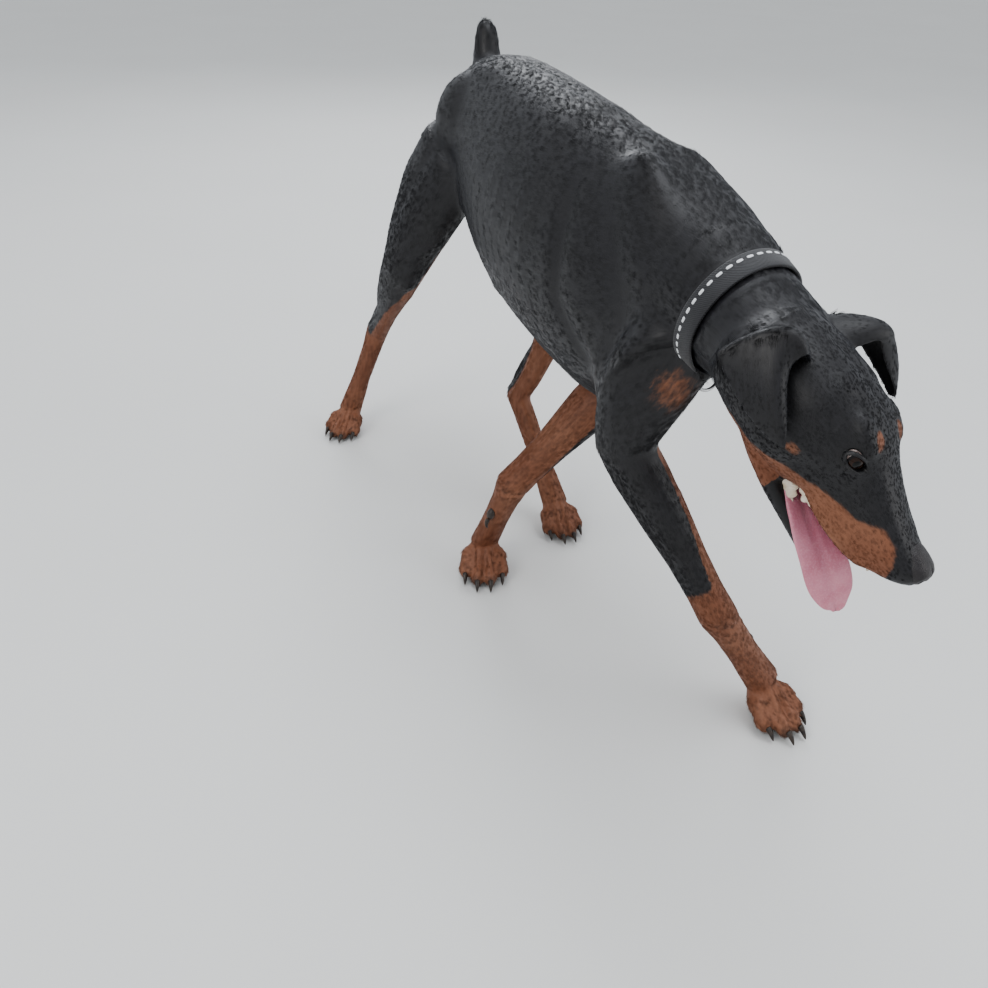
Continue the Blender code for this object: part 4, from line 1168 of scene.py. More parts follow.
def head_marks(points, normals):
    """Rust, bare black skin and the mouth's lining on the head."""
    local = head_local(points)
    x, y, z = np.abs(local[:, 0]), local[:, 1], local[:, 2]
    jaw_turn = np.array(JAW.to_3x3())
    jaw_local = (points - np.array(JAW.translation)) @ jaw_turn / MM
    on_jaw = (z < np.interp(y, JAW_SPLIT_Y, JAW_SPLIT_Z)) & (y < -108)
    border = np.interp(y, RUST_BORDER_Y, RUST_BORDER_Z)
    rust = smoothstep(border - z, -5.0, 6.0) * smoothstep(y, -225, -218)
    jaw_rust = smoothstep(-90 - jaw_local[:, 2], -2.5, 4.0) * smoothstep(jaw_local[:, 1], -168, -142)
    rust = np.where(on_jaw, jaw_rust, rust)
    rust *= 1 - smoothstep(y, -34, -6)
    for hand in (-1, 1):
        rust = np.maximum(rust, spot_mask(local, (20 * hand, -124, -8), (6.5, 9.5, 9)))
        rust = np.maximum(rust, spot_mask(local, (52 * hand, -94, -53), (12, 8, 6)) * 0.7)
    lip = smoothstep(np.interp(y, LIP_Y, LIP_Z) + 2.2 - z, -0.8, 0.8) * (y < -112) * ~on_jaw
    jaw_lip = smoothstep(jaw_local[:, 2] + 80.5, -1, 1) * on_jaw
    muzzle_end = 1 - smoothstep(y, -232, -224)
    bare = np.maximum(np.maximum(lip, jaw_lip), muzzle_end * 0.6)
    downward = normals @ np.array(HEAD_TOP)
    inner = x < np.interp(y, (-220, -130), (9, 21))
    jaw_lining = (normals @ jaw_turn[:, 2] > 0.45) & (x < 15)
    lining = np.where(on_jaw, jaw_lining, (downward < -0.5) & inner & (y < -96)).astype(float) * (z > -120)
    for hand in ("left", "right"):
        centre = np.array(eye_axes(hand)[0])
        near = 1 - smoothstep(np.linalg.norm(points - centre, axis=1), 0.0128, 0.0142)
        bare = np.maximum(bare, near)
    return rust, bare, lining


def body_marks(points, normals):
    """Masks of the coat's colours, of painted shade at the toe ends and of bare skin, for every vertex."""
    head = zones(points)[0]
    head_rust, head_bare, lining = head_marks(points, normals)
    distance, place, way = leg_places(points)
    bone = place["bone"].astype(int)
    hind = bone >= 6
    stage = bone % 3
    share, front, inward = place["share"], place["front"], place["inward"]
    fore_from = 0.80 - 0.80 * smoothstep(inward, 0.10, 0.42)
    fore_from -= 0.22 * smoothstep(front, 0.55, 0.95) * smoothstep(inward, -0.30, 0.05)
    fore_middle = smoothstep(share, fore_from, fore_from + 0.045)
    fore_top = smoothstep(share, 0.80, 0.98) * smoothstep(inward, 0.45, 0.7)
    hind_line = 0.85 - 0.95 * share
    hind_middle = np.maximum(smoothstep(front * 0.85 + inward * 0.5, hind_line, hind_line + 0.14),
                             smoothstep(inward, 0.28, 0.46) * smoothstep(front, -0.78, -0.58))
    hind_foot = 1 - smoothstep(-front, 0.50, 0.72) * (1 - smoothstep(share, 0.50, 0.72))
    hind_top = smoothstep(share, 0.45, 0.62) * smoothstep(inward, 0.40, 0.62)
    leg = np.select([~hind & (stage == 0), ~hind & (stage == 1), ~hind & (stage == 2),
                     hind & (stage == 0), hind & (stage == 1)],
                    [fore_top, fore_middle, np.ones(len(points)), hind_top, hind_middle], hind_foot)
    reach = np.where(stage == 0, 0.085, 0.066)
    leg *= 1 - smoothstep(distance, reach * 0.92, reach)
    leg *= 1 - smoothstep(points[:, 2], 0.47, 0.50)
    rust = np.where(head, head_rust, leg)
    for centre, radii in (((-0.060, -0.352, 0.436), (0.030, 0.030, 0.030)),
                          ((0.060, -0.352, 0.425), (0.030, 0.030, 0.030)),
                          ((0.010, 0.325, 0.578), (0.020, 0.030, 0.034))):
        rust = np.maximum(rust, spot_mask(points, centre, radii) * 0.58)
    ear, along = ear_distance(points)
    on_ear = 1 - smoothstep(ear, 0.0032, 0.0050)
    rust *= 1 - on_ear
    # Painted shade: the low front ends of the toes, by the claws and the floor, are darkened in the coat's
    # colour.
    toe_ends = np.zeros(len(points))
    for name in PAW_HEADINGS:
        frame = paw_frame(name)
        local = (points - np.array(frame.translation)) @ np.array(frame.to_3x3()) / MM / paw_size(name)
        aside = np.abs(local[:, 0])
        ahead = smoothstep(-local[:, 1] + aside * 0.35, 44, 56)
        on_paw = (aside < 40) & (np.hypot(local[:, 0] * 0.75, local[:, 1]) < 70) & (local[:, 2] < 24)
        toe_ends = np.maximum(toe_ends, ahead * on_paw)
    sole = smoothstep(-normals[:, 2], 0.35, 0.65) * (points[:, 2] < 0.014)
    bare = np.where(head, head_bare, sole)
    lining = np.where(head, lining, 0)
    rust = rust * (1 - bare)
    return {"rust": rust, "bare": bare, "lining": lining, "toe_shade": toe_ends * 0.8, "on_ear": on_ear,
            "along": along, "leg_way": way, "leg_distance": distance, "stage": stage, "head": head}


GRAIN_STRETCH = 0.93      # how much of the way along the hairs the streaks leave out


def coat_lie(points, marks):
    """The way the hairs point, and coordinates drawn out along it, for each vertex."""
    lie = np.tile(np.array((0.0, 1.0, -0.18)), (len(points), 1))
    neck = points[:, 1] < -0.30
    lie[neck] = (0.05, 0.95, 0.10)
    stage = marks["stage"]
    on_leg = (marks["leg_distance"] < np.where(stage == 0, 0.075, 0.07)) & (points[:, 2] < 0.50)
    down = marks["leg_way"] + np.array((0.0, 0.35, 0.0)) * (stage == 0)[:, None]
    lie[on_leg] = down[on_leg]
    lie[marks["head"]] = np.array(HEAD.to_3x3() @ Vector((0, 1, -0.08)))
    local = head_local(points)
    for hand, sign in (("left", 1), ("right", -1)):
        middle = ear_point(hand, 0.5, FOLD_SHARE)
        for chosen, way in ((marks["along"] < FOLD_SHARE, middle - ear_point(hand, 0.5, 0)),
                            (marks["along"] >= FOLD_SHARE, ear_point(hand, 0.5, 1) - middle)):
            mask = (marks["on_ear"] > 0.5) & chosen & (local[:, 0] * sign > 0)
            lie[mask] = np.array(way.normalized())
    tail = (points[:, 2] > 0.64) & (points[:, 1] > 0.27)
    lie[tail] = (0, 0.15, 1)
    lie = unit_rows(lie)
    grain = points - lie * ((points * lie).sum(axis=1) * GRAIN_STRETCH)[:, None]
    return lie, grain


def spread(mesh, values, rounds):
    """Evens out a value over the mesh's edges."""
    first, second, count = neighbours(mesh)
    for _ in range(rounds):
        values = values * 0.4 + neighbour_sums(values, first, second) / count * 0.6
    return values


HEAD_ZONE = 16
CHART_GAP = 0.004


def unwrap(mesh, points, marks):
    """Lays the skin out flat: each part of the body from six sides, packed in rows."""
    ear_part = (marks["on_ear"] > 0.5) * (1 + (marks["along"] > FOLD_SHARE))
    zone = np.where(marks["leg_distance"] < 0.08, marks["stage"] + 1, 0)
    zone = np.where(points[:, 2] > 0.46, 0, zone) + 4 * (points[:, 0] > 0) + 8 * (points[:, 1] > 0)
    zone = np.where(marks["head"], HEAD_ZONE + ear_part, zone)
    starts, corners = face_corners(mesh)
    totals = np.diff(starts, append=len(corners))
    face_normals = np.empty(len(starts) * 3, dtype=np.float32)
    mesh.polygons.foreach_get("normal", face_normals)
    face_normals = face_normals.reshape(-1, 3).astype(float)
    turn = np.array(HEAD.to_3x3())
    face_zone = zone[corners[starts]]
    on_head = face_zone >= HEAD_ZONE
    face_normals[on_head] = face_normals[on_head] @ turn
    facing = np.argmax(np.abs(face_normals), axis=1)
    facing = facing + 3 * (np.take_along_axis(face_normals, facing[:, None], 1)[:, 0] < 0)
    chart = face_zone * 6 + facing
    corner_chart = np.repeat(chart, totals)
    spots = points[corners]
    corner_head = np.repeat(on_head, totals)
    spots = np.where(corner_head[:, None], spots @ turn, spots)
    uv = np.zeros((len(corners), 2))
    boxes = []
    for number in np.unique(chart):
        chosen = corner_chart == number
        axes = [axis for axis in range(3) if axis != number % 6 % 3]
        flat = spots[chosen][:, axes]
        low = flat.min(axis=0)
        uv[chosen] = flat - low
        boxes.append((number, *(flat.max(axis=0) - low)))
    boxes.sort(key=lambda box: -box[2])
    area = sum((width + CHART_GAP) * (height + CHART_GAP) for _, width, height in boxes)
    wide = math.sqrt(area) * 1.15
    left = bottom = row = 0.0
    for number, width, height in boxes:
        if left + width > wide:
            left = 0.0
            bottom += row + CHART_GAP
            row = 0.0
        uv[corner_chart == number] += (left, bottom)
        left += width + CHART_GAP
        row = max(row, height)
    uv /= max(wide, bottom + row)
    layer = mesh.uv_layers.new(name="OFBake")
    layer.data.foreach_set("uv", uv.astype(np.float32).ravel())


# Shader building

class Wiring:
    """A node tree with short ways to add and join nodes."""

    def __init__(self, tree):
        self.tree = tree

    def node(self, kind, **settings):
        made = self.tree.nodes.new(kind)
        for name, value in settings.items():
            setattr(made, name, value)
        return made

    def fed(self, kind, values, **settings):
        """A node with its inputs fed by name or number."""
        made = self.node(kind, **settings)
        for label, value in values.items():
            self.feed(made.inputs[label], value)
        return made

    def place(self):
        return self.node("ShaderNodeTexCoord").outputs["Object"]

    def join(self, source, target):
        self.tree.links.new(source, target)

    def feed(self, target, value):
        if isinstance(value, bpy.types.NodeSocket):
            self.join(value, target)
        elif value is not None:
            target.default_value = value

    def math(self, operation, first, second):
        return self.fed("ShaderNodeMath", {0: first, 1: second}, operation=operation).outputs[0]

    def blend(self, share, first, second):
        return self.fed("ShaderNodeMix", {0: share, 6: first, 7: second}, data_type="RGBA").outputs[2]

    def noise(self, vector, scale, detail=2.0, roughness=0.5):
        values = {"Vector": vector, "Scale": scale, "Detail": detail, "Roughness": roughness}
        return self.fed("ShaderNodeTexNoise", values).outputs["Fac"]

    def cells(self, vector, scale):
        return self.fed("ShaderNodeTexVoronoi", {"Vector": vector, "Scale": scale}).outputs["Distance"]

    def range(self, value, low, high, to_low=0.0, to_high=1.0, smooth=False):
        values = {"Value": value, "From Min": low, "From Max": high, "To Min": to_low, "To Max": to_high}
        kind = "SMOOTHSTEP" if smooth else "LINEAR"
        return self.fed("ShaderNodeMapRange", values, interpolation_type=kind).outputs["Result"]

    def attribute(self, name):
        return self.node("ShaderNodeAttribute", attribute_name=name)

    def bump(self, height, strength, distance, normal=None):
        values = {"Strength": strength, "Distance": distance, "Height": height, "Normal": normal}
        return self.fed("ShaderNodeBump", values).outputs["Normal"]


def new_material(name):
    material = bpy.data.materials.new(name)
    material.use_nodes = True
    wiring = Wiring(material.node_tree)
    return material, wiring, material.node_tree.nodes["Principled BSDF"]


def new_group(name, inputs, outputs):
    tree = bpy.data.node_groups.new(name, "ShaderNodeTree")
    for label, kind, value in inputs:
        socket = tree.interface.new_socket(label, in_out="INPUT", socket_type=kind)
        if value is not None:
            socket.default_value = value
    for label, kind in outputs:
        tree.interface.new_socket(label, in_out="OUTPUT", socket_type=kind)
    wiring = Wiring(tree)
    return tree, wiring, wiring.node("NodeGroupInput"), wiring.node("NodeGroupOutput")


def coat_colour_group():
    """The coat's colours: black, rust marks with broken edges, painted shade at the toe ends, bare skin and
    the mouth's lining.
    """
    inputs = (("Place", "NodeSocketVector", None), ("Grain", "NodeSocketVector", None),
              ("Rust", "NodeSocketFloat", 0.0), ("Bare", "NodeSocketFloat", 0.0),
              ("Lining", "NodeSocketFloat", 0.0), ("Toe_shade", "NodeSocketFloat", 0.0),
              ("Streaks", "NodeSocketFloat", 1.0))
    tree, w, entry, leave = new_group("coat_colour", inputs, (("Colour", "NodeSocketColor"),
                                                               ("Roughness", "NodeSocketFloat")))
    place = entry.outputs["Place"]
    grain = entry.outputs["Grain"]
    ragged = w.noise(grain, 260, 2.0, 0.6)
    broad = w.noise(place, 14, 2.0)
    edge = w.math("ADD", entry.outputs["Rust"], w.range(ragged, 0.25, 0.75, -0.22, 0.22))
    rust_mask = w.range(edge, 0.22, 0.80, smooth=True)
    streak = w.math("SUBTRACT", w.noise(grain, 420, 3.0, 0.6), 0.5)
    streak = w.math("MULTIPLY", streak, entry.outputs["Streaks"])
    streak = w.math("ADD", streak, 0.5)
    black = w.blend(w.range(streak, 0.35, 0.70), (0.0052, 0.0047, 0.0060, 1), (0.0125, 0.0116, 0.0150, 1))
    black = w.blend(w.range(broad, 0.35, 0.70, 0.0, 0.35), black, (0.0095, 0.0082, 0.0082, 1))
    rust = w.blend(w.range(broad, 0.30, 0.70), (0.185, 0.064, 0.028, 1), (0.270, 0.115, 0.060, 1))
    rust = w.blend(w.range(streak, 0.30, 0.75, 0.0, 0.55), rust, (0.130, 0.042, 0.018, 1))
    # Painted shade: the rust turns near black at the low ends of the toes.
    rust = w.blend(w.math("MULTIPLY", entry.outputs["Toe_shade"], w.range(ragged, 0.3, 0.6, 0.5, 1.0)), rust,
                   (0.020, 0.014, 0.012, 1))
    coat = w.blend(rust_mask, black, rust)
    skin = w.blend(w.noise(place, 300, 2.0), (0.0030, 0.0027, 0.0030, 1), (0.0070, 0.0060, 0.0066, 1))
    lining = w.blend(w.noise(place, 60, 2.0), (0.120, 0.034, 0.042, 1), (0.230, 0.080, 0.090, 1))
    shown = w.blend(entry.outputs["Bare"], coat, skin)
    shown = w.blend(entry.outputs["Lining"], shown, lining)
    w.join(shown, leave.inputs["Colour"])
    rough = w.range(streak, 0.3, 0.7, 0.38, 0.52)
    rough = w.math("ADD", rough, w.math("MULTIPLY", rust_mask, 0.12))
    rough = w.math("SUBTRACT", rough, w.math("MULTIPLY", entry.outputs["Bare"], 0.02))
    rough = w.math("SUBTRACT", rough, w.math("MULTIPLY", entry.outputs["Lining"], 0.16))
    w.join(rough, leave.inputs["Roughness"])
    return tree


def coat_material(name, group, hairy):
    """The coat on the skin, with its streaks in relief, or on the tufts, shaded with the skin below them."""
    material, w, shader = new_material(name)
    grain = w.attribute("grain").outputs["Vector"]
    values = {"Place": w.place(), "Grain": grain, "Streaks": 0.22 if hairy else 0.75}
    for label in ("Rust", "Bare", "Lining", "Toe_shade"):
        values[label] = w.attribute(label.lower()).outputs["Fac"]
    colours = w.fed("ShaderNodeGroup", values, node_tree=group)
    w.join(colours.outputs["Colour"], shader.inputs["Base Color"])
    w.join(colours.outputs["Roughness"], shader.inputs["Roughness"])
    shader.inputs["Specular IOR Level"].default_value = 0.55
    shader.inputs["Sheen Weight"].default_value = 0.045
    shader.inputs["Sheen Roughness"].default_value = 0.45
    shader.inputs["Sheen Tint"].default_value = (0.62, 0.70, 0.86, 1)
    if hairy:
        outward = w.fed("ShaderNodeVectorTransform", {0: w.attribute("outward").outputs["Vector"]},
                        vector_type="NORMAL", convert_from="OBJECT", convert_to="WORLD").outputs[0]
        own = w.node("ShaderNodeNewGeometry").outputs["Normal"]
        soft = w.fed("ShaderNodeMix", {0: 0.92, 4: own, 5: outward}, data_type="VECTOR").outputs[1]
        even = w.fed("ShaderNodeVectorMath", {0: soft}, operation="NORMALIZE").outputs[0]
        w.join(even, shader.inputs["Normal"])
    else:
        fine = w.bump(w.noise(grain, 700, 3.0, 0.65), 0.30, 0.0005)
        w.join(w.bump(w.noise(grain, 170, 2.0, 0.6), 0.14, 0.0010, fine), shader.inputs["Normal"])
    return material


# Tufts

def tuft_object(hairs, length, width, lift, sway):
    """A few solid hairs side by side, their tips along +Y, with a small patch for their colours."""
    shape = bmesh.new()
    patch = shape.loops.layers.uv.new("patch")
    for number in range(hairs):
        place = (number / (hairs - 1) - 0.5) * 2 if hairs > 1 else 0.0
        x = place * sway
        start = ((number * 7) % hairs) / hairs * length * 0.45
        reach = length * (0.78 + 0.22 * math.cos(number * 2.4))
        low = shape.verts.new((x - width / 2, start, -width * 0.6))
        high = shape.verts.new((x + width / 2, start, -width * 0.6))
        ridge = shape.verts.new((x, start + length * 0.12, width * 0.40))
        tip = shape.verts.new((x + place * sway * 0.25, start + reach, reach * lift))
        for corners in ((low, ridge, tip), (ridge, high, tip), (high, low, tip), (low, high, ridge)):
            face = shape.faces.new(corners)
            for loop in face.loops:
                spot = loop.vert.co
                loop[patch].uv = (0.5 + spot.x / (sway * 4), min(max(spot.y / length / 1.5, 0), 1))
    mesh = bpy.data.meshes.new("tuft")
    shape.to_mesh(mesh)
    shape.free()
    return new_object("tuft", mesh)


def named_output(node, name):
    return next(socket for socket in node.outputs if socket.name == name and socket.enabled)


def coat_tree():
    """Sets tufts over the skin where a mask says, along the lie of the coat, and makes them one mesh."""
    tree = bpy.data.node_groups.new("coat_tufts", "GeometryNodeTree")
    for name, kind, value in (("Skin", "NodeSocketGeometry", None), ("Tuft", "NodeSocketObject", None),
                              ("Mask", "NodeSocketString", ""),
                              ("Tufts per square metre", "NodeSocketFloat", 1.0),
                              ("Smallest", "NodeSocketFloat", 0.7), ("Largest", "NodeSocketFloat", 1.25),
                              ("Yaw", "NodeSocketFloat", 0.25), ("Lift", "NodeSocketFloat", 0.05),
                              ("Patch", "NodeSocketFloat", 0.003), ("Seed", "NodeSocketInt", 1),
                              ("Coat", "NodeSocketMaterial", None)):
        socket = tree.interface.new_socket(name, in_out="INPUT", socket_type=kind)
        if value is not None:
            socket.default_value = value
    tree.interface.new_socket("Coat", in_out="OUTPUT", socket_type="NodeSocketGeometry")
    w = Wiring(tree)
    entry = w.node("NodeGroupInput")
    given = entry.outputs
    leave = w.node("NodeGroupOutput")
    mask = w.node("GeometryNodeInputNamedAttribute", data_type="FLOAT")
    w.join(given["Mask"], mask.inputs["Name"])
    scatter = w.node("GeometryNodeDistributePointsOnFaces", distribute_method="RANDOM")
    w.join(given["Skin"], scatter.inputs["Mesh"])
    w.join(w.math("MULTIPLY", given["Tufts per square metre"], named_output(mask, "Attribute")),
           scatter.inputs["Density"])
    w.join(given["Seed"], scatter.inputs["Seed"])
    lie = w.node("GeometryNodeInputNamedAttribute", data_type="FLOAT_VECTOR")
    lie.inputs["Name"].default_value = "lie"
    stand = w.node("FunctionNodeAxesToRotation", primary_axis="Z", secondary_axis="Y")
    w.join(scatter.outputs["Normal"], stand.inputs[0])
    w.join(named_output(lie, "Attribute"), stand.inputs[1])
    sway = w.node("FunctionNodeRandomValue", data_type="FLOAT_VECTOR")
    least = w.node("ShaderNodeCombineXYZ")
    most = w.node("ShaderNodeCombineXYZ")
    w.join(w.math("MULTIPLY", given["Lift"], -0.25), least.inputs[0])
    w.join(given["Lift"], most.inputs[0])
    w.join(w.math("MULTIPLY", given["Yaw"], -1.0), least.inputs[2])
    w.join(given["Yaw"], most.inputs[2])
    vector_inputs = [socket for socket in sway.inputs if socket.type == "VECTOR"]
    w.join(least.outputs[0], vector_inputs[0])
    w.join(most.outputs[0], vector_inputs[1])
    w.join(given["Seed"], sway.inputs["Seed"])
    turn = w.node("FunctionNodeEulerToRotation")
    w.join(named_output(sway, "Value"), turn.inputs[0])
    swayed = w.node("FunctionNodeRotateRotation", rotation_space="LOCAL")
    w.join(stand.outputs[0], swayed.inputs[0])
    w.join(turn.outputs[0], swayed.inputs[1])
    size = w.node("FunctionNodeRandomValue", data_type="FLOAT")
    float_inputs = [socket for socket in size.inputs if socket.type == "VALUE"]
    w.join(given["Smallest"], float_inputs[0])
    w.join(given["Largest"], float_inputs[1])
    w.join(given["Seed"], size.inputs["Seed"])
    tuft = w.node("GeometryNodeObjectInfo", transform_space="ORIGINAL")
    w.join(given["Tuft"], tuft.inputs["Object"])
    plant = w.node("GeometryNodeInstanceOnPoints")
    w.join(scatter.outputs["Points"], plant.inputs["Points"])
    w.join(tuft.outputs["Geometry"], plant.inputs["Instance"])
    w.join(swayed.outputs[0], plant.inputs["Rotation"])
    w.join(named_output(size, "Value"), plant.inputs["Scale"])
    real = w.node("GeometryNodeRealizeInstances")
    w.join(plant.outputs[0], real.inputs[0])
    root = w.node("GeometryNodeInputNamedAttribute", data_type="FLOAT_VECTOR")
    root.inputs["Name"].default_value = "OFBake"
    patch = w.node("GeometryNodeInputNamedAttribute", data_type="FLOAT_VECTOR")
    patch.inputs["Name"].default_value = "patch"
    shrink = w.node("ShaderNodeVectorMath", operation="SCALE")
    w.join(named_output(patch, "Attribute"), shrink.inputs[0])
    w.join(given["Patch"], shrink.inputs["Scale"])
    add = w.node("ShaderNodeVectorMath", operation="ADD")
    w.join(named_output(root, "Attribute"), add.inputs[0])
    w.join(shrink.outputs[0], add.inputs[1])
    lay = w.node("GeometryNodeStoreNamedAttribute", data_type="FLOAT2", domain="CORNER")
    lay.inputs["Name"].default_value = "OFBake"
    w.join(real.outputs[0], lay.inputs["Geometry"])
    w.join(add.outputs[0], lay.inputs["Value"])
    dress = w.node("GeometryNodeSetMaterial")
    w.join(lay.outputs[0], dress.inputs["Geometry"])
    w.join(given["Coat"], dress.inputs["Material"])
    w.join(dress.outputs[0], leave.inputs[0])
    return tree


TRIANGLES_A_COAT = 188000
# name of pieces and mask, hairs in a tuft, their length and width in mm, lift, seeds; the last coat covers
# the breaks of form
COATS = (
    ("coat_trunk", 5, 9.5, 0.32, 0.020, (11, 12, 13)),
    ("coat_legs", 5, 6.8, 0.28, 0.020, (21, 22)),
    ("coat_face", 5, 3.6, 0.20, 0.022, (31,)),
    ("coat_edges", 6, 12.0, 0.32, 0.055, (41,)),
)


def grow_coat(skin, material):
    """Makes the coat's pieces, each under the limit of triangles."""
    tree = coat_tree()
    sockets = {item.name: item.identifier for item in tree.interface.items_tree if item.in_out == "INPUT"}
    mesh = skin.data
    mesh.calc_loop_triangles()
    corners = np.empty(len(mesh.loop_triangles) * 3, dtype=np.int64)
    mesh.loop_triangles.foreach_get("vertices", corners)
    areas = np.empty(len(mesh.loop_triangles), dtype=np.float32)
    mesh.loop_triangles.foreach_get("area", areas)
    pieces = []
    for name, hairs, length, width, lift, seeds in COATS:
        values = np.empty(len(mesh.vertices), dtype=np.float32)
        mesh.attributes[name].data.foreach_get("value", values)
        covered = float((values[corners.reshape(-1, 3)].mean(axis=1) * areas).sum())
        tufts = TRIANGLES_A_COAT / (hairs * 4)
        model = tuft_object(hairs, length * MM, width * MM, lift, 1.5 * MM * length / 9)
        for seed in seeds:
            piece = new_object(f"{name}_{seed % 10}", skin.data.copy())
            grow = piece.modifiers.new("grow", "NODES")
            grow.node_group = tree
            for label, value in (("Tuft", model), ("Mask", name), ("Tufts per square metre", tufts / covered),
                                 ("Seed", seed), ("Coat", material), ("Smallest", 0.7), ("Largest", 1.25),
                                 ("Yaw", 0.26), ("Lift", lift), ("Patch", 0.003)):
                grow[sockets[label]] = value
            apply_modifiers(piece)
            piece.data.attributes.remove(piece.data.attributes["patch"])
            pieces.append(piece)
        bpy.data.objects.remove(model, do_unlink=True)
    return pieces


# Eyes, nose, tongue, teeth

def make_eye(hand):
    """An eyeball with its cornea bulging towards the gaze; the attribute ring is the angle off the gaze."""
    centre, gaze, slit, upward = eye_axes(hand)
    shape = bmesh.new()
    rings = []
    steps = [1.2 * step for step in range(1, 34)] + [40 + 10 * step for step in range(1, 14)]
    for degrees in steps:
        tilt = math.radians(degrees)
        bulge = 0.00085 * (0.5 + 0.5 * math.cos(min(degrees / 36, 1) * math.pi))
        reach = EYE_RADIUS + bulge
        ring = []
        for spoke in range(56):
            spin = 2 * math.pi * spoke / 56
            way = gaze * math.cos(tilt) + (slit * math.cos(spin) + upward * math.sin(spin)) * math.sin(tilt)
            ring.append(centre + way * reach)
        rings.append(ring)
    loft(shape, rings)
    eye = shape_object("eyeball_" + hand, shape)
    spots = vertex_array(eye.data) - np.array(centre)
    off = np.degrees(np.arccos(np.clip(unit_rows(spots) @ np.array(gaze), -1, 1)))
    spin = np.arctan2(spots @ np.array(upward), spots @ np.array(slit))
    store(eye.data, "ring", off / 90)
    store(eye.data, "spoke", np.stack([np.cos(spin), np.sin(spin), off / 90], axis=1))
    smooth_faces(eye)
    return eye


def eye_material():
    material, w, shader = new_material("eye")
    ring = w.attribute("ring").outputs["Fac"]
    spoke = w.attribute("spoke").outputs["Vector"]
    threads = w.noise(spoke, 9, 3.0, 0.7)
    iris = w.blend(w.range(threads, 0.3, 0.7), (0.012, 0.005, 0.003, 1), (0.034, 0.013, 0.006, 1))
    iris = w.blend(w.range(ring, 0.17, 0.20, smooth=True), (0.002, 0.002, 0.002, 1), iris)
    iris = w.blend(w.range(ring, 0.33, 0.385, smooth=True), iris, (0.006, 0.004, 0.004, 1))
    white = w.blend(w.noise(spoke, 5, 3.0), (0.30, 0.25, 0.23, 1), (0.16, 0.10, 0.09, 1))
    shown = w.blend(w.range(ring, 0.47, 0.52, smooth=True), iris, white)
    w.join(shown, shader.inputs["Base Color"])
    w.join(w.range(threads, 0.0, 1.0, 0.03, 0.07), shader.inputs["Roughness"])
    shader.inputs["Specular IOR Level"].default_value = 0.38
    return material


# y, top, bottom, half width in the head's millimetres
NOSE_ROWS = ((-210, -36.5, -58, 11), (-216, -36, -60, 14), (-224, -36.5, -61, 15.5),
             (-231, -37.5, -60.5, 15.5), (-236.5, -40, -58.5, 13), (-239.5, -44, -54.5, 7.5))


def make_nose():
    """The nose leather: a rounded wedge with flared wings, a philtrum and two comma-shaped nostrils."""
    shape = bmesh.new()
    rings = []
    for y, top, bottom, half_width in NOSE_ROWS:
        centre = head_point(0, y, (top + bottom) / 2)
        height = (top - bottom) / 2 * MM
        rings.append(section(centre, HEAD_SIDE, HEAD_TOP, half_width * MM, height, height, 2.4, 2.2, 28))
    loft(shape, rings[::-1])
    for sign in (-1, 1):
        muscle(shape, head_point(12.5 * sign, -220, -47), head_point(11 * sign, -234, -46), 0.0040,
               0.0058, HEAD_SIDE)
    nose = shape_object("nose_leather", shape)
    remesh(nose, 0.0006)
    relax(nose.data, np.full(len(nose.data.vertices), 0.5), 14)
    points = vertex_array(nose.data)
    normals = normal_array(nose.data)
    local = head_local(points)
    x, y, z = np.abs(local[:, 0]), local[:, 1], local[:, 2]
    rise = -0.0011 * np.exp(-(local[:, 0] / 0.9) ** 2) * smoothstep(-y, 228, 236)
    nostril = np.zeros(len(points))
    for spot, radius in (((6.0, -237.5, -49), 2.7), ((8.5, -236, -48.5), 2.6), ((11.5, -232, -50), 2.1),
                         ((13.6, -228, -52), 1.6), ((15.0, -224, -53.5), 1.2)):
        distance = np.linalg.norm(np.stack([x, y, z], axis=1) - np.array(spot), axis=1)
        nostril = np.maximum(nostril, 1 - smoothstep(distance, radius * 0.6, radius * 1.5))
    set_points(nose.data, points + normals * (rise - nostril * 0.0034)[:, None])
    # The nostril mask is kept for the painted shade in the leather's colour.
    store(nose.data, "nostril_shade", nostril)
    smooth_faces(nose)
    return nose


def leather_material():
    """Pebbled nose leather, with painted shade in the nostril hollows."""
    material, w, shader = new_material("nose_leather")
    place = w.place()
    nostril_shade = w.attribute("nostril_shade").outputs["Fac"]
    colour = w.blend(w.noise(place, 220, 2.0), (0.012, 0.011, 0.012, 1), (0.034, 0.029, 0.031, 1))
    # Painted shade: the nostril hollows are coloured near black.
    colour = w.blend(nostril_shade, colour, (0.002, 0.002, 0.002, 1))
    w.join(colour, shader.inputs["Base Color"])
    w.join(w.range(w.noise(place, 140, 2.0), 0.3, 0.7, 0.30, 0.46), shader.inputs["Roughness"])
    w.join(w.bump(w.cells(place, 950), 0.5, 0.0005), shader.inputs["Normal"])
    return material


# centre, half width and thickness along the tongue, in the head's frame, and how far its edge is rolled
TONGUE = (
    ((0, -94, -97), 13, 4.0, 0),
    ((-3, -118, -101), 15, 4.0, 6),
    ((-6, -142, -105), 17, 4.0, 18),
    ((-8, -165, -109), 18.5, 3.6, 32),
    ((-8, -189, -114), 20.5, 3.2, 42),
    ((-5, -208, -122), 20, 3.0, 45),
    ((-2, -221, -129), 15, 2.8, 45),
    ((0, -229, -133.4), 8.5, 2.3, 45),
    ((0, -232.4, -135.4), 3.0, 1.2, 45),
)


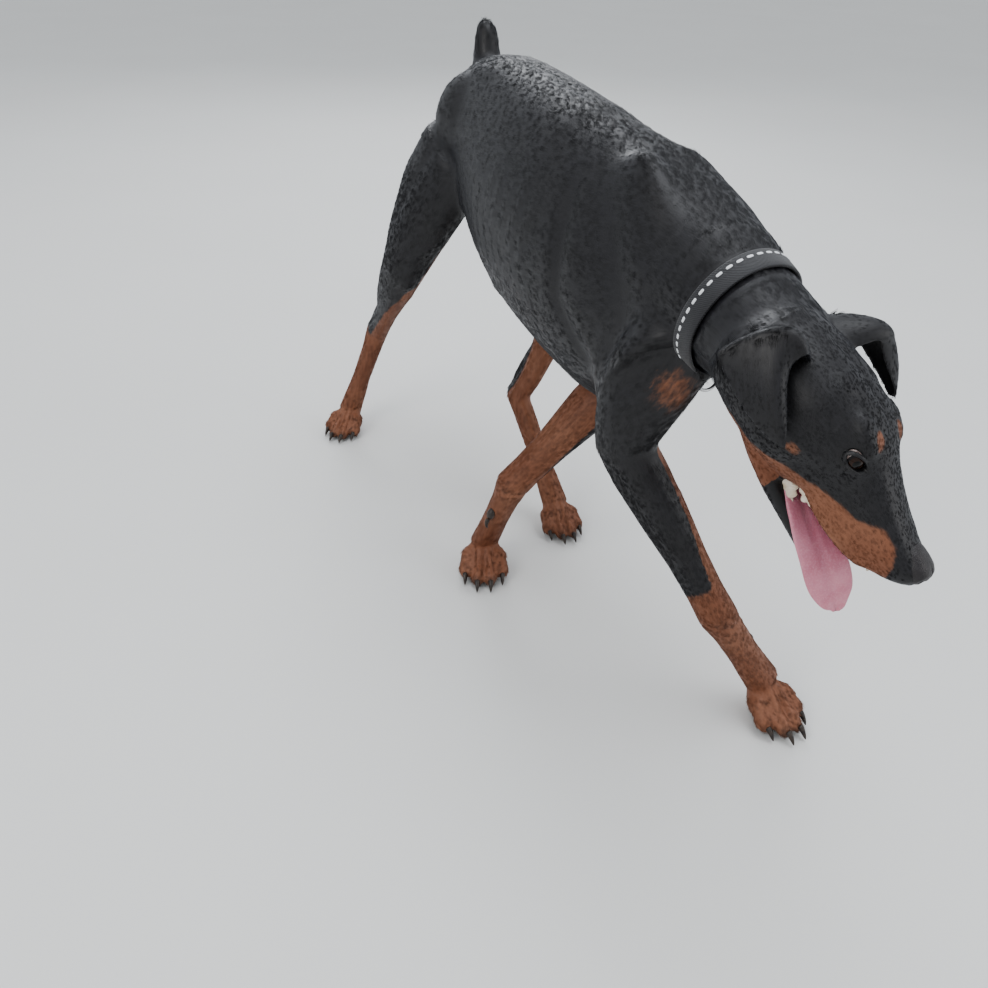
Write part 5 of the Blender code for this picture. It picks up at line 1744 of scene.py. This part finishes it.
def curve_rows(rows, steps):
    """Smooth in-between rows by Catmull-Rom, for rows of plain numbers."""
    table = np.array(rows, dtype=float)
    padded = np.vstack([table[0] * 2 - table[1], table, table[-1] * 2 - table[-2]])
    made = []
    for number in range(len(table) - 1):
        before, first, second, after = padded[number:number + 4]
        for step in range(steps):
            t = step / steps
            made.append(0.5 * (2 * first + (second - before) * t
                               + (2 * before - 5 * first + 4 * second - after) * t ** 2
                               + (3 * first - before - 3 * second + after) * t ** 3))
    made.append(table[-1])
    return made


GROOVE_SIDE = -1      # the tongue's upper face is the one turned away from the lower jaw


def make_tongue():
    shape = bmesh.new()
    rows = curve_rows([(*centre, width, height, roll) for centre, width, height, roll in TONGUE], 8)
    centres = [head_point(*row[:3]) for row in rows]
    rings = []
    for number, row in enumerate(rows):
        before = centres[max(number - 1, 0)]
        after = centres[min(number + 1, len(rows) - 1)]
        along = (after - before).normalized()
        across = (HEAD_SIDE - along * HEAD_SIDE.dot(along)).normalized()
        across.rotate(Matrix.Rotation(math.radians(row[5]), 3, along))
        deep = across.cross(along).normalized()
        ring = section(centres[number], across, deep, row[3] * MM, row[4] * MM, row[4] * MM, 2.5, 2.5, 48)
        bent = []
        for point in ring:
            off = point - centres[number]
            side_share = off.dot(across) / (row[3] * MM)
            groove = -1.5 * math.exp(-(side_share / 0.13) ** 2) if off.dot(deep) * GROOVE_SIDE > 0 else 0.0
            cup = 1.6 * side_share ** 2
            ripple = 0.35 * math.sin(number * 0.55 + side_share * 2)
            bent.append(point + deep * GROOVE_SIDE * ((groove + cup + ripple) * MM))
        rings.append(bent)
    loft(shape, rings)
    return smooth_object("tongue_flesh", shape)


def tongue_material():
    material, w, shader = new_material("tongue")
    place = w.place()
    colour = w.blend(w.range(w.noise(place, 45, 3.0), 0.3, 0.7),
                     (0.50, 0.175, 0.235, 1), (0.62, 0.27, 0.34, 1))
    colour = w.blend(w.range(w.noise(place, 600, 2.0), 0.45, 0.75, 0.0, 0.35), colour, (0.70, 0.42, 0.47, 1))
    w.join(colour, shader.inputs["Base Color"])
    w.join(w.range(w.noise(place, 90, 2.0), 0.3, 0.7, 0.28, 0.42), shader.inputs["Roughness"])
    soft = w.bump(w.noise(place, 70, 2.0), 0.25, 0.0010)
    w.join(w.bump(w.cells(place, 1100), 0.25, 0.0003, soft), shader.inputs["Normal"])
    shader.inputs["Subsurface Weight"].default_value = 0.18
    shader.inputs["Subsurface Radius"].default_value = (0.004, 0.0015, 0.001)
    shader.inputs["Subsurface Scale"].default_value = 1.0
    return material


# y along the jaw, height, half length and cusps: cheek teeth, eye tooth and front teeth of one side
UPPER_TEETH = ((-120, 12, 5.4, 2), (-134, 17, 7.4, 3), (-149, 13.5, 5.4, 2), (-161, 11, 4.4, 1),
               (-172, 10, 3.4, 1), (-200, 12, 3.4, 1), (-210, 8, 2.4, 1))
LOWER_TEETH = ((-114, 12, 4.6, 2), (-127, 16, 6.6, 3), (-140, 8, 4.4, 2), (-151, 6, 3.6, 1),
               (-162, 6, 3.0, 1), (-181, 9, 3.2, 1), (-190, 7, 2.2, 1))


def add_teeth(shape, place, teeth, root_height, spread_at, downward):
    side = place.to_3x3() @ Vector((1, 0, 0))
    for y, height, half_length, cusps in teeth:
        for sign in (-1, 1):
            x = spread_at(-y) * sign
            for cusp in range(cusps):
                along = (cusp - (cusps - 1) / 2) * half_length * 0.95
                tall = height * (1.0 - 0.20 * abs(cusp - (cusps - 1) / 2))
                start = place @ (Vector((x, y + along * 0.8, root_height)) * MM)
                end = place @ (Vector((x * 0.97, y + along - 0.6, root_height + tall * downward)) * MM)
                depth = half_length * (0.62 if cusps > 1 else 0.7) * MM
                muscle(shape, start, end, half_length * 0.42 * MM, depth, side, 1.0, 14)


def make_teeth():
    shape = bmesh.new()
    add_teeth(shape, HEAD, UPPER_TEETH, -74, lambda y: 23.5 - max(y - 130, 0) * 0.13, -1)
    add_teeth(shape, JAW, LOWER_TEETH, -76, lambda y: 17.5 - max(y - 120, 0) * 0.09, 1)
    teeth = shape_object("teeth", shape)
    remesh(teeth, 0.0007)
    relax(teeth.data, np.full(len(teeth.data.vertices), 0.4), 4)
    smooth_faces(teeth)
    return teeth


def tooth_material():
    material, w, shader = new_material("tooth")
    place = w.place()
    colour = w.blend(w.range(w.noise(place, 120, 2.0), 0.3, 0.7),
                     (0.74, 0.69, 0.60, 1), (0.58, 0.49, 0.36, 1))
    w.join(colour, shader.inputs["Base Color"])
    w.join(w.range(w.noise(place, 200, 2.0), 0.3, 0.7, 0.16, 0.28), shader.inputs["Roughness"])
    return material


# Claws

def make_claws():
    shape = bmesh.new()
    for name in PAW_HEADINGS:
        place = paw_frame(name)
        size = paw_size(name)
        side = place.to_3x3() @ Vector((1, 0, 0))
        for across, reach in TOES:
            rows = []
            for step in range(7):
                share = step / 6
                ahead = reach * 1.10 + 2 + 12.5 * share
                height = 14.5 - 11.0 * share ** 1.6
                point = place @ (Vector((across * (1.06 + 0.01 * share), -ahead, height)) * (MM * size))
                taper = (1 - share) ** 0.6
                rows.append((point, (3.6 * taper + 0.5) * MM * size, (4.0 * taper + 0.5) * MM * size))
            limb(shape, rows, side)
    for hand, sign in (("left", 1), ("right", -1)):
        wrist = joint("wrist_" + hand)
        paw = joint("forepaw_" + hand)
        inward = side_of(14) * -sign
        start = wrist.lerp(paw, 0.38) + inward * 0.019
        ahead = Vector((*PAW_HEADINGS["forepaw_" + hand], 0)).normalized()
        muscle(shape, start - UP * -0.010 - inward * 0.004, start - UP * 0.004 + inward * 0.001,
               0.0055, 0.006, inward)
        rows = []
        for step in range(6):
            share = step / 5
            taper = (1 - share) ** 0.6
            point = (start + inward * (0.003 + 0.003 * math.sin(share * 3)) - UP * (0.004 + 0.013 * share)
                     + ahead * (0.003 * share))
            rows.append((point, (2.8 * taper + 0.4) * MM, (3.0 * taper + 0.4) * MM))
        limb(shape, rows, ahead)
    claws = shape_object("claws", shape)
    subdivide(claws, 1)
    smooth_faces(claws)
    return claws


def horn_material():
    material, w, shader = new_material("claw_horn")
    place = w.place()
    colour = w.blend(w.range(w.noise(place, 180, 3.0), 0.3, 0.7),
                     (0.016, 0.013, 0.012, 1), (0.060, 0.043, 0.034, 1))
    w.join(colour, shader.inputs["Base Color"])
    w.join(w.range(w.noise(place, 260, 2.0), 0.3, 0.7, 0.26, 0.42), shader.inputs["Roughness"])
    w.join(w.bump(w.noise(place, 900, 2.0), 0.2, 0.0003), shader.inputs["Normal"])
    return material


# Collar

COLLAR_CENTRE = Vector((-9, -362, 517)) * MM
COLLAR_AXIS = Vector((0.10, -0.94, -0.30)).normalized()
COLLAR_SIDE = (Vector((1, 0, 0)) - COLLAR_AXIS * COLLAR_AXIS.x).normalized()
COLLAR_UP = COLLAR_AXIS.cross(COLLAR_SIDE)
if COLLAR_UP.z < 0:
    COLLAR_UP.negate()
COLLAR_HALF_WIDTHS = (0.062, 0.068, 0.060)      # to the side, above and below its centre


def collar_limit(angles):
    """How far out the band may lie at each angle round the neck."""
    side, above, below = COLLAR_HALF_WIDTHS
    height = np.where(np.sin(angles) > 0, above, below)
    return side * height / np.sqrt((height * np.cos(angles)) ** 2 + (side * np.sin(angles)) ** 2)


def press_collar(points):
    """Flesh that swells past the band gives way to it, and comes back within two fingers of its edges."""
    off = points - np.array(COLLAR_CENTRE)
    along = off @ np.array(COLLAR_AXIS)
    side = off @ np.array(COLLAR_SIDE)
    height = off @ np.array(COLLAR_UP)
    reach = np.hypot(side, height)
    angles = np.arctan2(height, side)
    beside = np.maximum(np.abs(along) - COLLAR_WIDTH * 0.55, 0)
    limit = collar_limit(angles) - 0.0015 + beside * 1.3 + beside ** 2 * 14
    near = np.abs(along) < 0.07
    soft = 0.004
    over = (reach - limit) / soft
    pressed = reach - soft * np.where(over > 20, over, np.log1p(np.exp(np.clip(over, -50, 20))))
    pressed = reach - (reach - pressed) * (1 - smoothstep(reach, 0.095, 0.185))
    share = np.where(near, pressed / np.maximum(reach, 1e-6), 1)
    outward = np.outer(side, np.array(COLLAR_SIDE)) + np.outer(height, np.array(COLLAR_UP))
    return points + outward * (share - 1)[:, None]


COLLAR_STEPS = 160
COLLAR_ANGLES = np.arange(COLLAR_STEPS) * 2 * math.pi / COLLAR_STEPS
COLLAR_PROFILE = ((-1, 0.3), (-0.97, 0.85), (-0.90, 1.0), (-0.45, 1.06), (0, 1.08), (0.45, 1.06), (0.90, 1.0),
                  (0.97, 0.85), (1, 0.3), (0.94, 0.0), (0, 0.0), (-0.94, 0.0))
COLLAR_INNER_FACES = 8      # the profile's places past this one lie on the neck
STITCH_STEP = 0.0098
STITCH_LINE = -0.42         # across the band: -1 is its edge towards the body
RING_RADIUS = 0.013
RING_WIRE = 0.0017


def collar_ray(angle):
    return COLLAR_SIDE * math.cos(angle) + COLLAR_UP * math.sin(angle)


def collar_spot(edges, step, angle, place, lift):
    """A point of the band: place is -1 to 1 across its width, lift counts its thickness outwards."""
    reach = edges[0][step] * (1 - place) / 2 + edges[1][step] * (1 + place) / 2
    return (COLLAR_CENTRE + collar_ray(angle) * (reach + COLLAR_THICKNESS * lift)
            + COLLAR_AXIS * (COLLAR_WIDTH / 2 * place))


def collar_edges(tree):
    """How far out each edge of the band lies at every angle, resting on the neck."""
    limits = collar_limit(COLLAR_ANGLES)
    edges = []
    for share in (-1, 1):
        reaches = []
        for angle, limit in zip(COLLAR_ANGLES, limits):
            ray = collar_ray(angle)
            best = 0.0
            for part in (0.5, 1.0):
                start = COLLAR_CENTRE + COLLAR_AXIS * (COLLAR_WIDTH / 2 * share * part) + ray * 0.10
                hit = tree.ray_cast(start, -ray)
                if hit[0] is not None:
                    best = max(best, 0.10 - hit[3])
            reaches.append(min(best if best > 0.03 else limit, limit))
        reaches = np.array(reaches)
        for _ in range(60):
            even = (np.roll(reaches, 1) + np.roll(reaches, -1)) / 2
            reaches = np.maximum(reaches * 0.5 + even * 0.5, np.minimum(reaches, even))
        edges.append(reaches + 0.0012)
    return edges


def make_band(edges, girth):
    shape = bmesh.new()
    web = shape.loops.layers.uv.new("web")
    closed_band(shape, [[shape.verts.new(collar_spot(edges, step, angle, place, lift))
                         for place, lift in COLLAR_PROFILE] for step, angle in enumerate(COLLAR_ANGLES)])
    shape.faces.ensure_lookup_table()
    width = len(COLLAR_PROFILE)
    for number, face in enumerate(shape.faces):
        ring, corner = divmod(number, width)
        for loop, (step, place) in zip(face.loops, ((ring, corner), (ring, corner + 1),
                                                    (ring + 1, corner + 1), (ring + 1, corner))):
            across = COLLAR_PROFILE[place % width][0] * COLLAR_WIDTH / 2
            inside = 0.03 if place > COLLAR_INNER_FACES else 0
            loop[web].uv = (step / COLLAR_STEPS * girth, across + inside)
    return smooth_object("collar_band", shape)


def make_stitches(edges, girth):
    shape = bmesh.new()
    count = int(girth / STITCH_STEP)
    for stitch in range(count):
        middle = 2 * math.pi * (stitch + 0.5) / count
        rows = []
        for share in (-1, -0.92, -0.5, 0, 0.5, 0.92, 1):
            angle = middle + share * 0.30 * 2 * math.pi / count
            step = int(round(angle / (2 * math.pi) * COLLAR_STEPS)) % COLLAR_STEPS
            thick = 1.0 if abs(share) < 0.9 else (0.75 if abs(share) < 0.95 else 0.25)
            rows.append((collar_spot(edges, step, angle, STITCH_LINE, 1.10), 0.0015 * thick, 0.0006 * thick))
        limb(shape, rows, COLLAR_AXIS)
    return smooth_object("collar_stitches", shape)


def make_ring(edges):
    """The ring hangs from the band's lowest place."""
    step = int(np.argmin([collar_ray(angle).z * reach for angle, reach in zip(COLLAR_ANGLES, edges[1])]))
    low = COLLAR_CENTRE + collar_ray(COLLAR_ANGLES[step]) * (edges[1][step] + COLLAR_THICKNESS)
    middle = low + Vector((0, 0, -RING_RADIUS - RING_WIRE * 0.2))
    across = COLLAR_AXIS.cross(UP).normalized()
    face = across.cross(UP)
    shape = bmesh.new()
    rings = []
    for step in range(48):
        spin = 2 * math.pi * step / 48
        outward = UP * math.cos(spin) + across * math.sin(spin)
        corners = []
        for turn in range(12):
            roll = 2 * math.pi * turn / 12
            corners.append(shape.verts.new(middle + outward * RING_RADIUS
                                           + (outward * math.cos(roll) + face * math.sin(roll)) * RING_WIRE))
        rings.append(corners)
    closed_band(shape, rings)
    return smooth_object("collar_hanging_ring", shape)


def make_collar(tree):
    """A webbing band laid round the neck a little slack, its line of white stitches and its ring."""
    edges = collar_edges(tree)
    girth = float(2 * math.pi * (edges[0].mean() + edges[1].mean()) / 2)
    return make_band(edges, girth), make_stitches(edges, girth), make_ring(edges)


def webbing_material():
    material, w, shader = new_material("collar_web")
    place = w.node("ShaderNodeUVMap", uv_map="web").outputs["UV"]
    wave = w.node("ShaderNodeTexWave", wave_type="BANDS", bands_direction="DIAGONAL")
    w.join(place, wave.inputs["Vector"])
    wave.inputs["Scale"].default_value = 260
    wave.inputs["Distortion"].default_value = 1.5
    wave.inputs["Detail"].default_value = 1.0
    worn = w.noise(place, 60, 3.0)
    colour = w.blend(wave.outputs["Fac"], (0.008, 0.008, 0.010, 1), (0.024, 0.024, 0.028, 1))
    colour = w.blend(w.range(worn, 0.4, 0.7, 0.0, 0.35), colour, (0.045, 0.045, 0.050, 1))
    w.join(colour, shader.inputs["Base Color"])
    w.join(w.range(worn, 0.3, 0.7, 0.50, 0.68), shader.inputs["Roughness"])
    w.join(w.bump(wave.outputs["Fac"], 0.5, 0.0004), shader.inputs["Normal"])
    shader.inputs["Sheen Weight"].default_value = 0.2
    return material


def thread_material():
    material, w, shader = new_material("stitch_thread")
    place = w.place()
    grainy = w.noise(place, 1200, 2.0)
    w.join(w.blend(grainy, (0.62, 0.63, 0.65, 1), (0.82, 0.83, 0.84, 1)), shader.inputs["Base Color"])
    w.join(w.range(grainy, 0.3, 0.7, 0.55, 0.7), shader.inputs["Roughness"])
    w.join(w.bump(grainy, 0.4, 0.0003), shader.inputs["Normal"])
    return material


def steel_material():
    material, w, shader = new_material("collar_steel")
    place = w.place()
    worn = w.noise(place, 220, 3.0)
    w.join(w.blend(worn, (0.42, 0.42, 0.43, 1), (0.62, 0.62, 0.63, 1)), shader.inputs["Base Color"])
    w.join(w.range(worn, 0.3, 0.7, 0.22, 0.38), shader.inputs["Roughness"])
    shader.inputs["Metallic"].default_value = 1.0
    return material


def floor_material():
    material, w, shader = new_material("studio_floor")
    place = w.place()
    colour = w.blend(w.noise(place, 2, 2.0), (0.66, 0.66, 0.65, 1), (0.70, 0.70, 0.69, 1))
    w.join(colour, shader.inputs["Base Color"])
    shader.inputs["Roughness"].default_value = 0.7
    return material


def dress(piece, material, slot, *nodes):
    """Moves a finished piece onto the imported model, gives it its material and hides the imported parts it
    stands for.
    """
    piece.data.materials.clear()
    piece.data.materials.append(material)
    piece.data.transform(Matrix.Translation(TO_FLOOR_MIDDLE))
    piece.data.update()
    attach(piece, "root")
    if nodes:
        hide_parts(*nodes)


def mark_skin(skin):
    """Colours, lie of the coat and the flat layout, all kept on the skin's own vertices."""
    mesh = skin.data
    points = vertex_array(mesh)
    normals = normal_array(mesh)
    marks = body_marks(points, normals)
    lie, grain = coat_lie(points, marks)
    lie = spread(mesh, lie, 24)
    lie -= normals * (lie * normals).sum(axis=1)[:, None]
    lie = unit_rows(lie)
    for name in ("rust", "bare", "lining", "toe_shade"):
        store(mesh, name, marks[name])
    store(mesh, "lie", lie)
    store(mesh, "grain", grain)
    store(mesh, "outward", normals)
    covered = (1 - marks["bare"]) * (1 - marks["lining"])
    face = marks["head"] & (head_local(points)[:, 1] < -20)
    foot = (points[:, 2] < 0.33) & ~marks["head"]
    back_of_thigh = (points[:, 1] > 0.16) & (normals[:, 1] > 0.55) & (points[:, 2] > 0.25)
    belly = (normals[:, 2] < -0.55) & (np.abs(points[:, 1]) < 0.22) & (points[:, 2] > 0.3)
    throat = (points[:, 1] < -0.30) & (normals[:, 2] < -0.35) & (points[:, 2] > 0.34) & ~face
    crest = (normals[:, 2] > 0.88) & (points[:, 2] > 0.56)
    edges = (back_of_thigh * 1.0 + belly * 0.8 + throat * 0.7 + crest * 0.35) * ~face * ~foot
    store(mesh, "coat_face", covered * face * (1 - 0.5 * (marks["on_ear"] > 0.5)))
    store(mesh, "coat_legs", covered * foot)
    store(mesh, "coat_trunk", covered * ~face * ~foot)
    store(mesh, "coat_edges", covered * np.clip(edges, 0, 1))
    unwrap(mesh, points, marks)


def main():
    place_camera()
    light_studio()
    skin = fuse_skin()
    mark_skin(skin)
    colours = coat_colour_group()
    hair = coat_material("hair_coat", colours, True)
    coats = grow_coat(skin, hair)
    bodies = BVHTree.FromObject(skin, bpy.context.evaluated_depsgraph_get())
    band, thread, ring = make_collar(bodies)
    dress(skin, coat_material("skin_coat", colours, False), "black_coat", "torso", "neck", "head", "tail",
          "foreleg_left", "foreleg_right", "hindleg_left", "hindleg_right", "ear_left", "ear_right")
    for coat in coats:
        dress(coat, hair, "black_coat")
    wet = eye_material()
    for hand in ("left", "right"):
        dress(make_eye(hand), wet, "eye", "eye_" + hand)
    dress(make_nose(), leather_material(), "nose_leather", "nose")
    dress(make_tongue(), tongue_material(), "tongue", "tongue")
    dress(make_teeth(), tooth_material(), "eye")
    dress(make_claws(), horn_material(), "nose_leather")
    dress(band, webbing_material(), "collar_web", "collar")
    dress(thread, thread_material(), "collar_web")
    dress(ring, steel_material(), "collar_steel", "collar_ring")
    shape = bmesh.new()
    bmesh.ops.create_grid(shape, x_segments=1, y_segments=1, size=30)
    floor = shape_object("floor", shape)
    floor.data.materials.append(floor_material())


main()
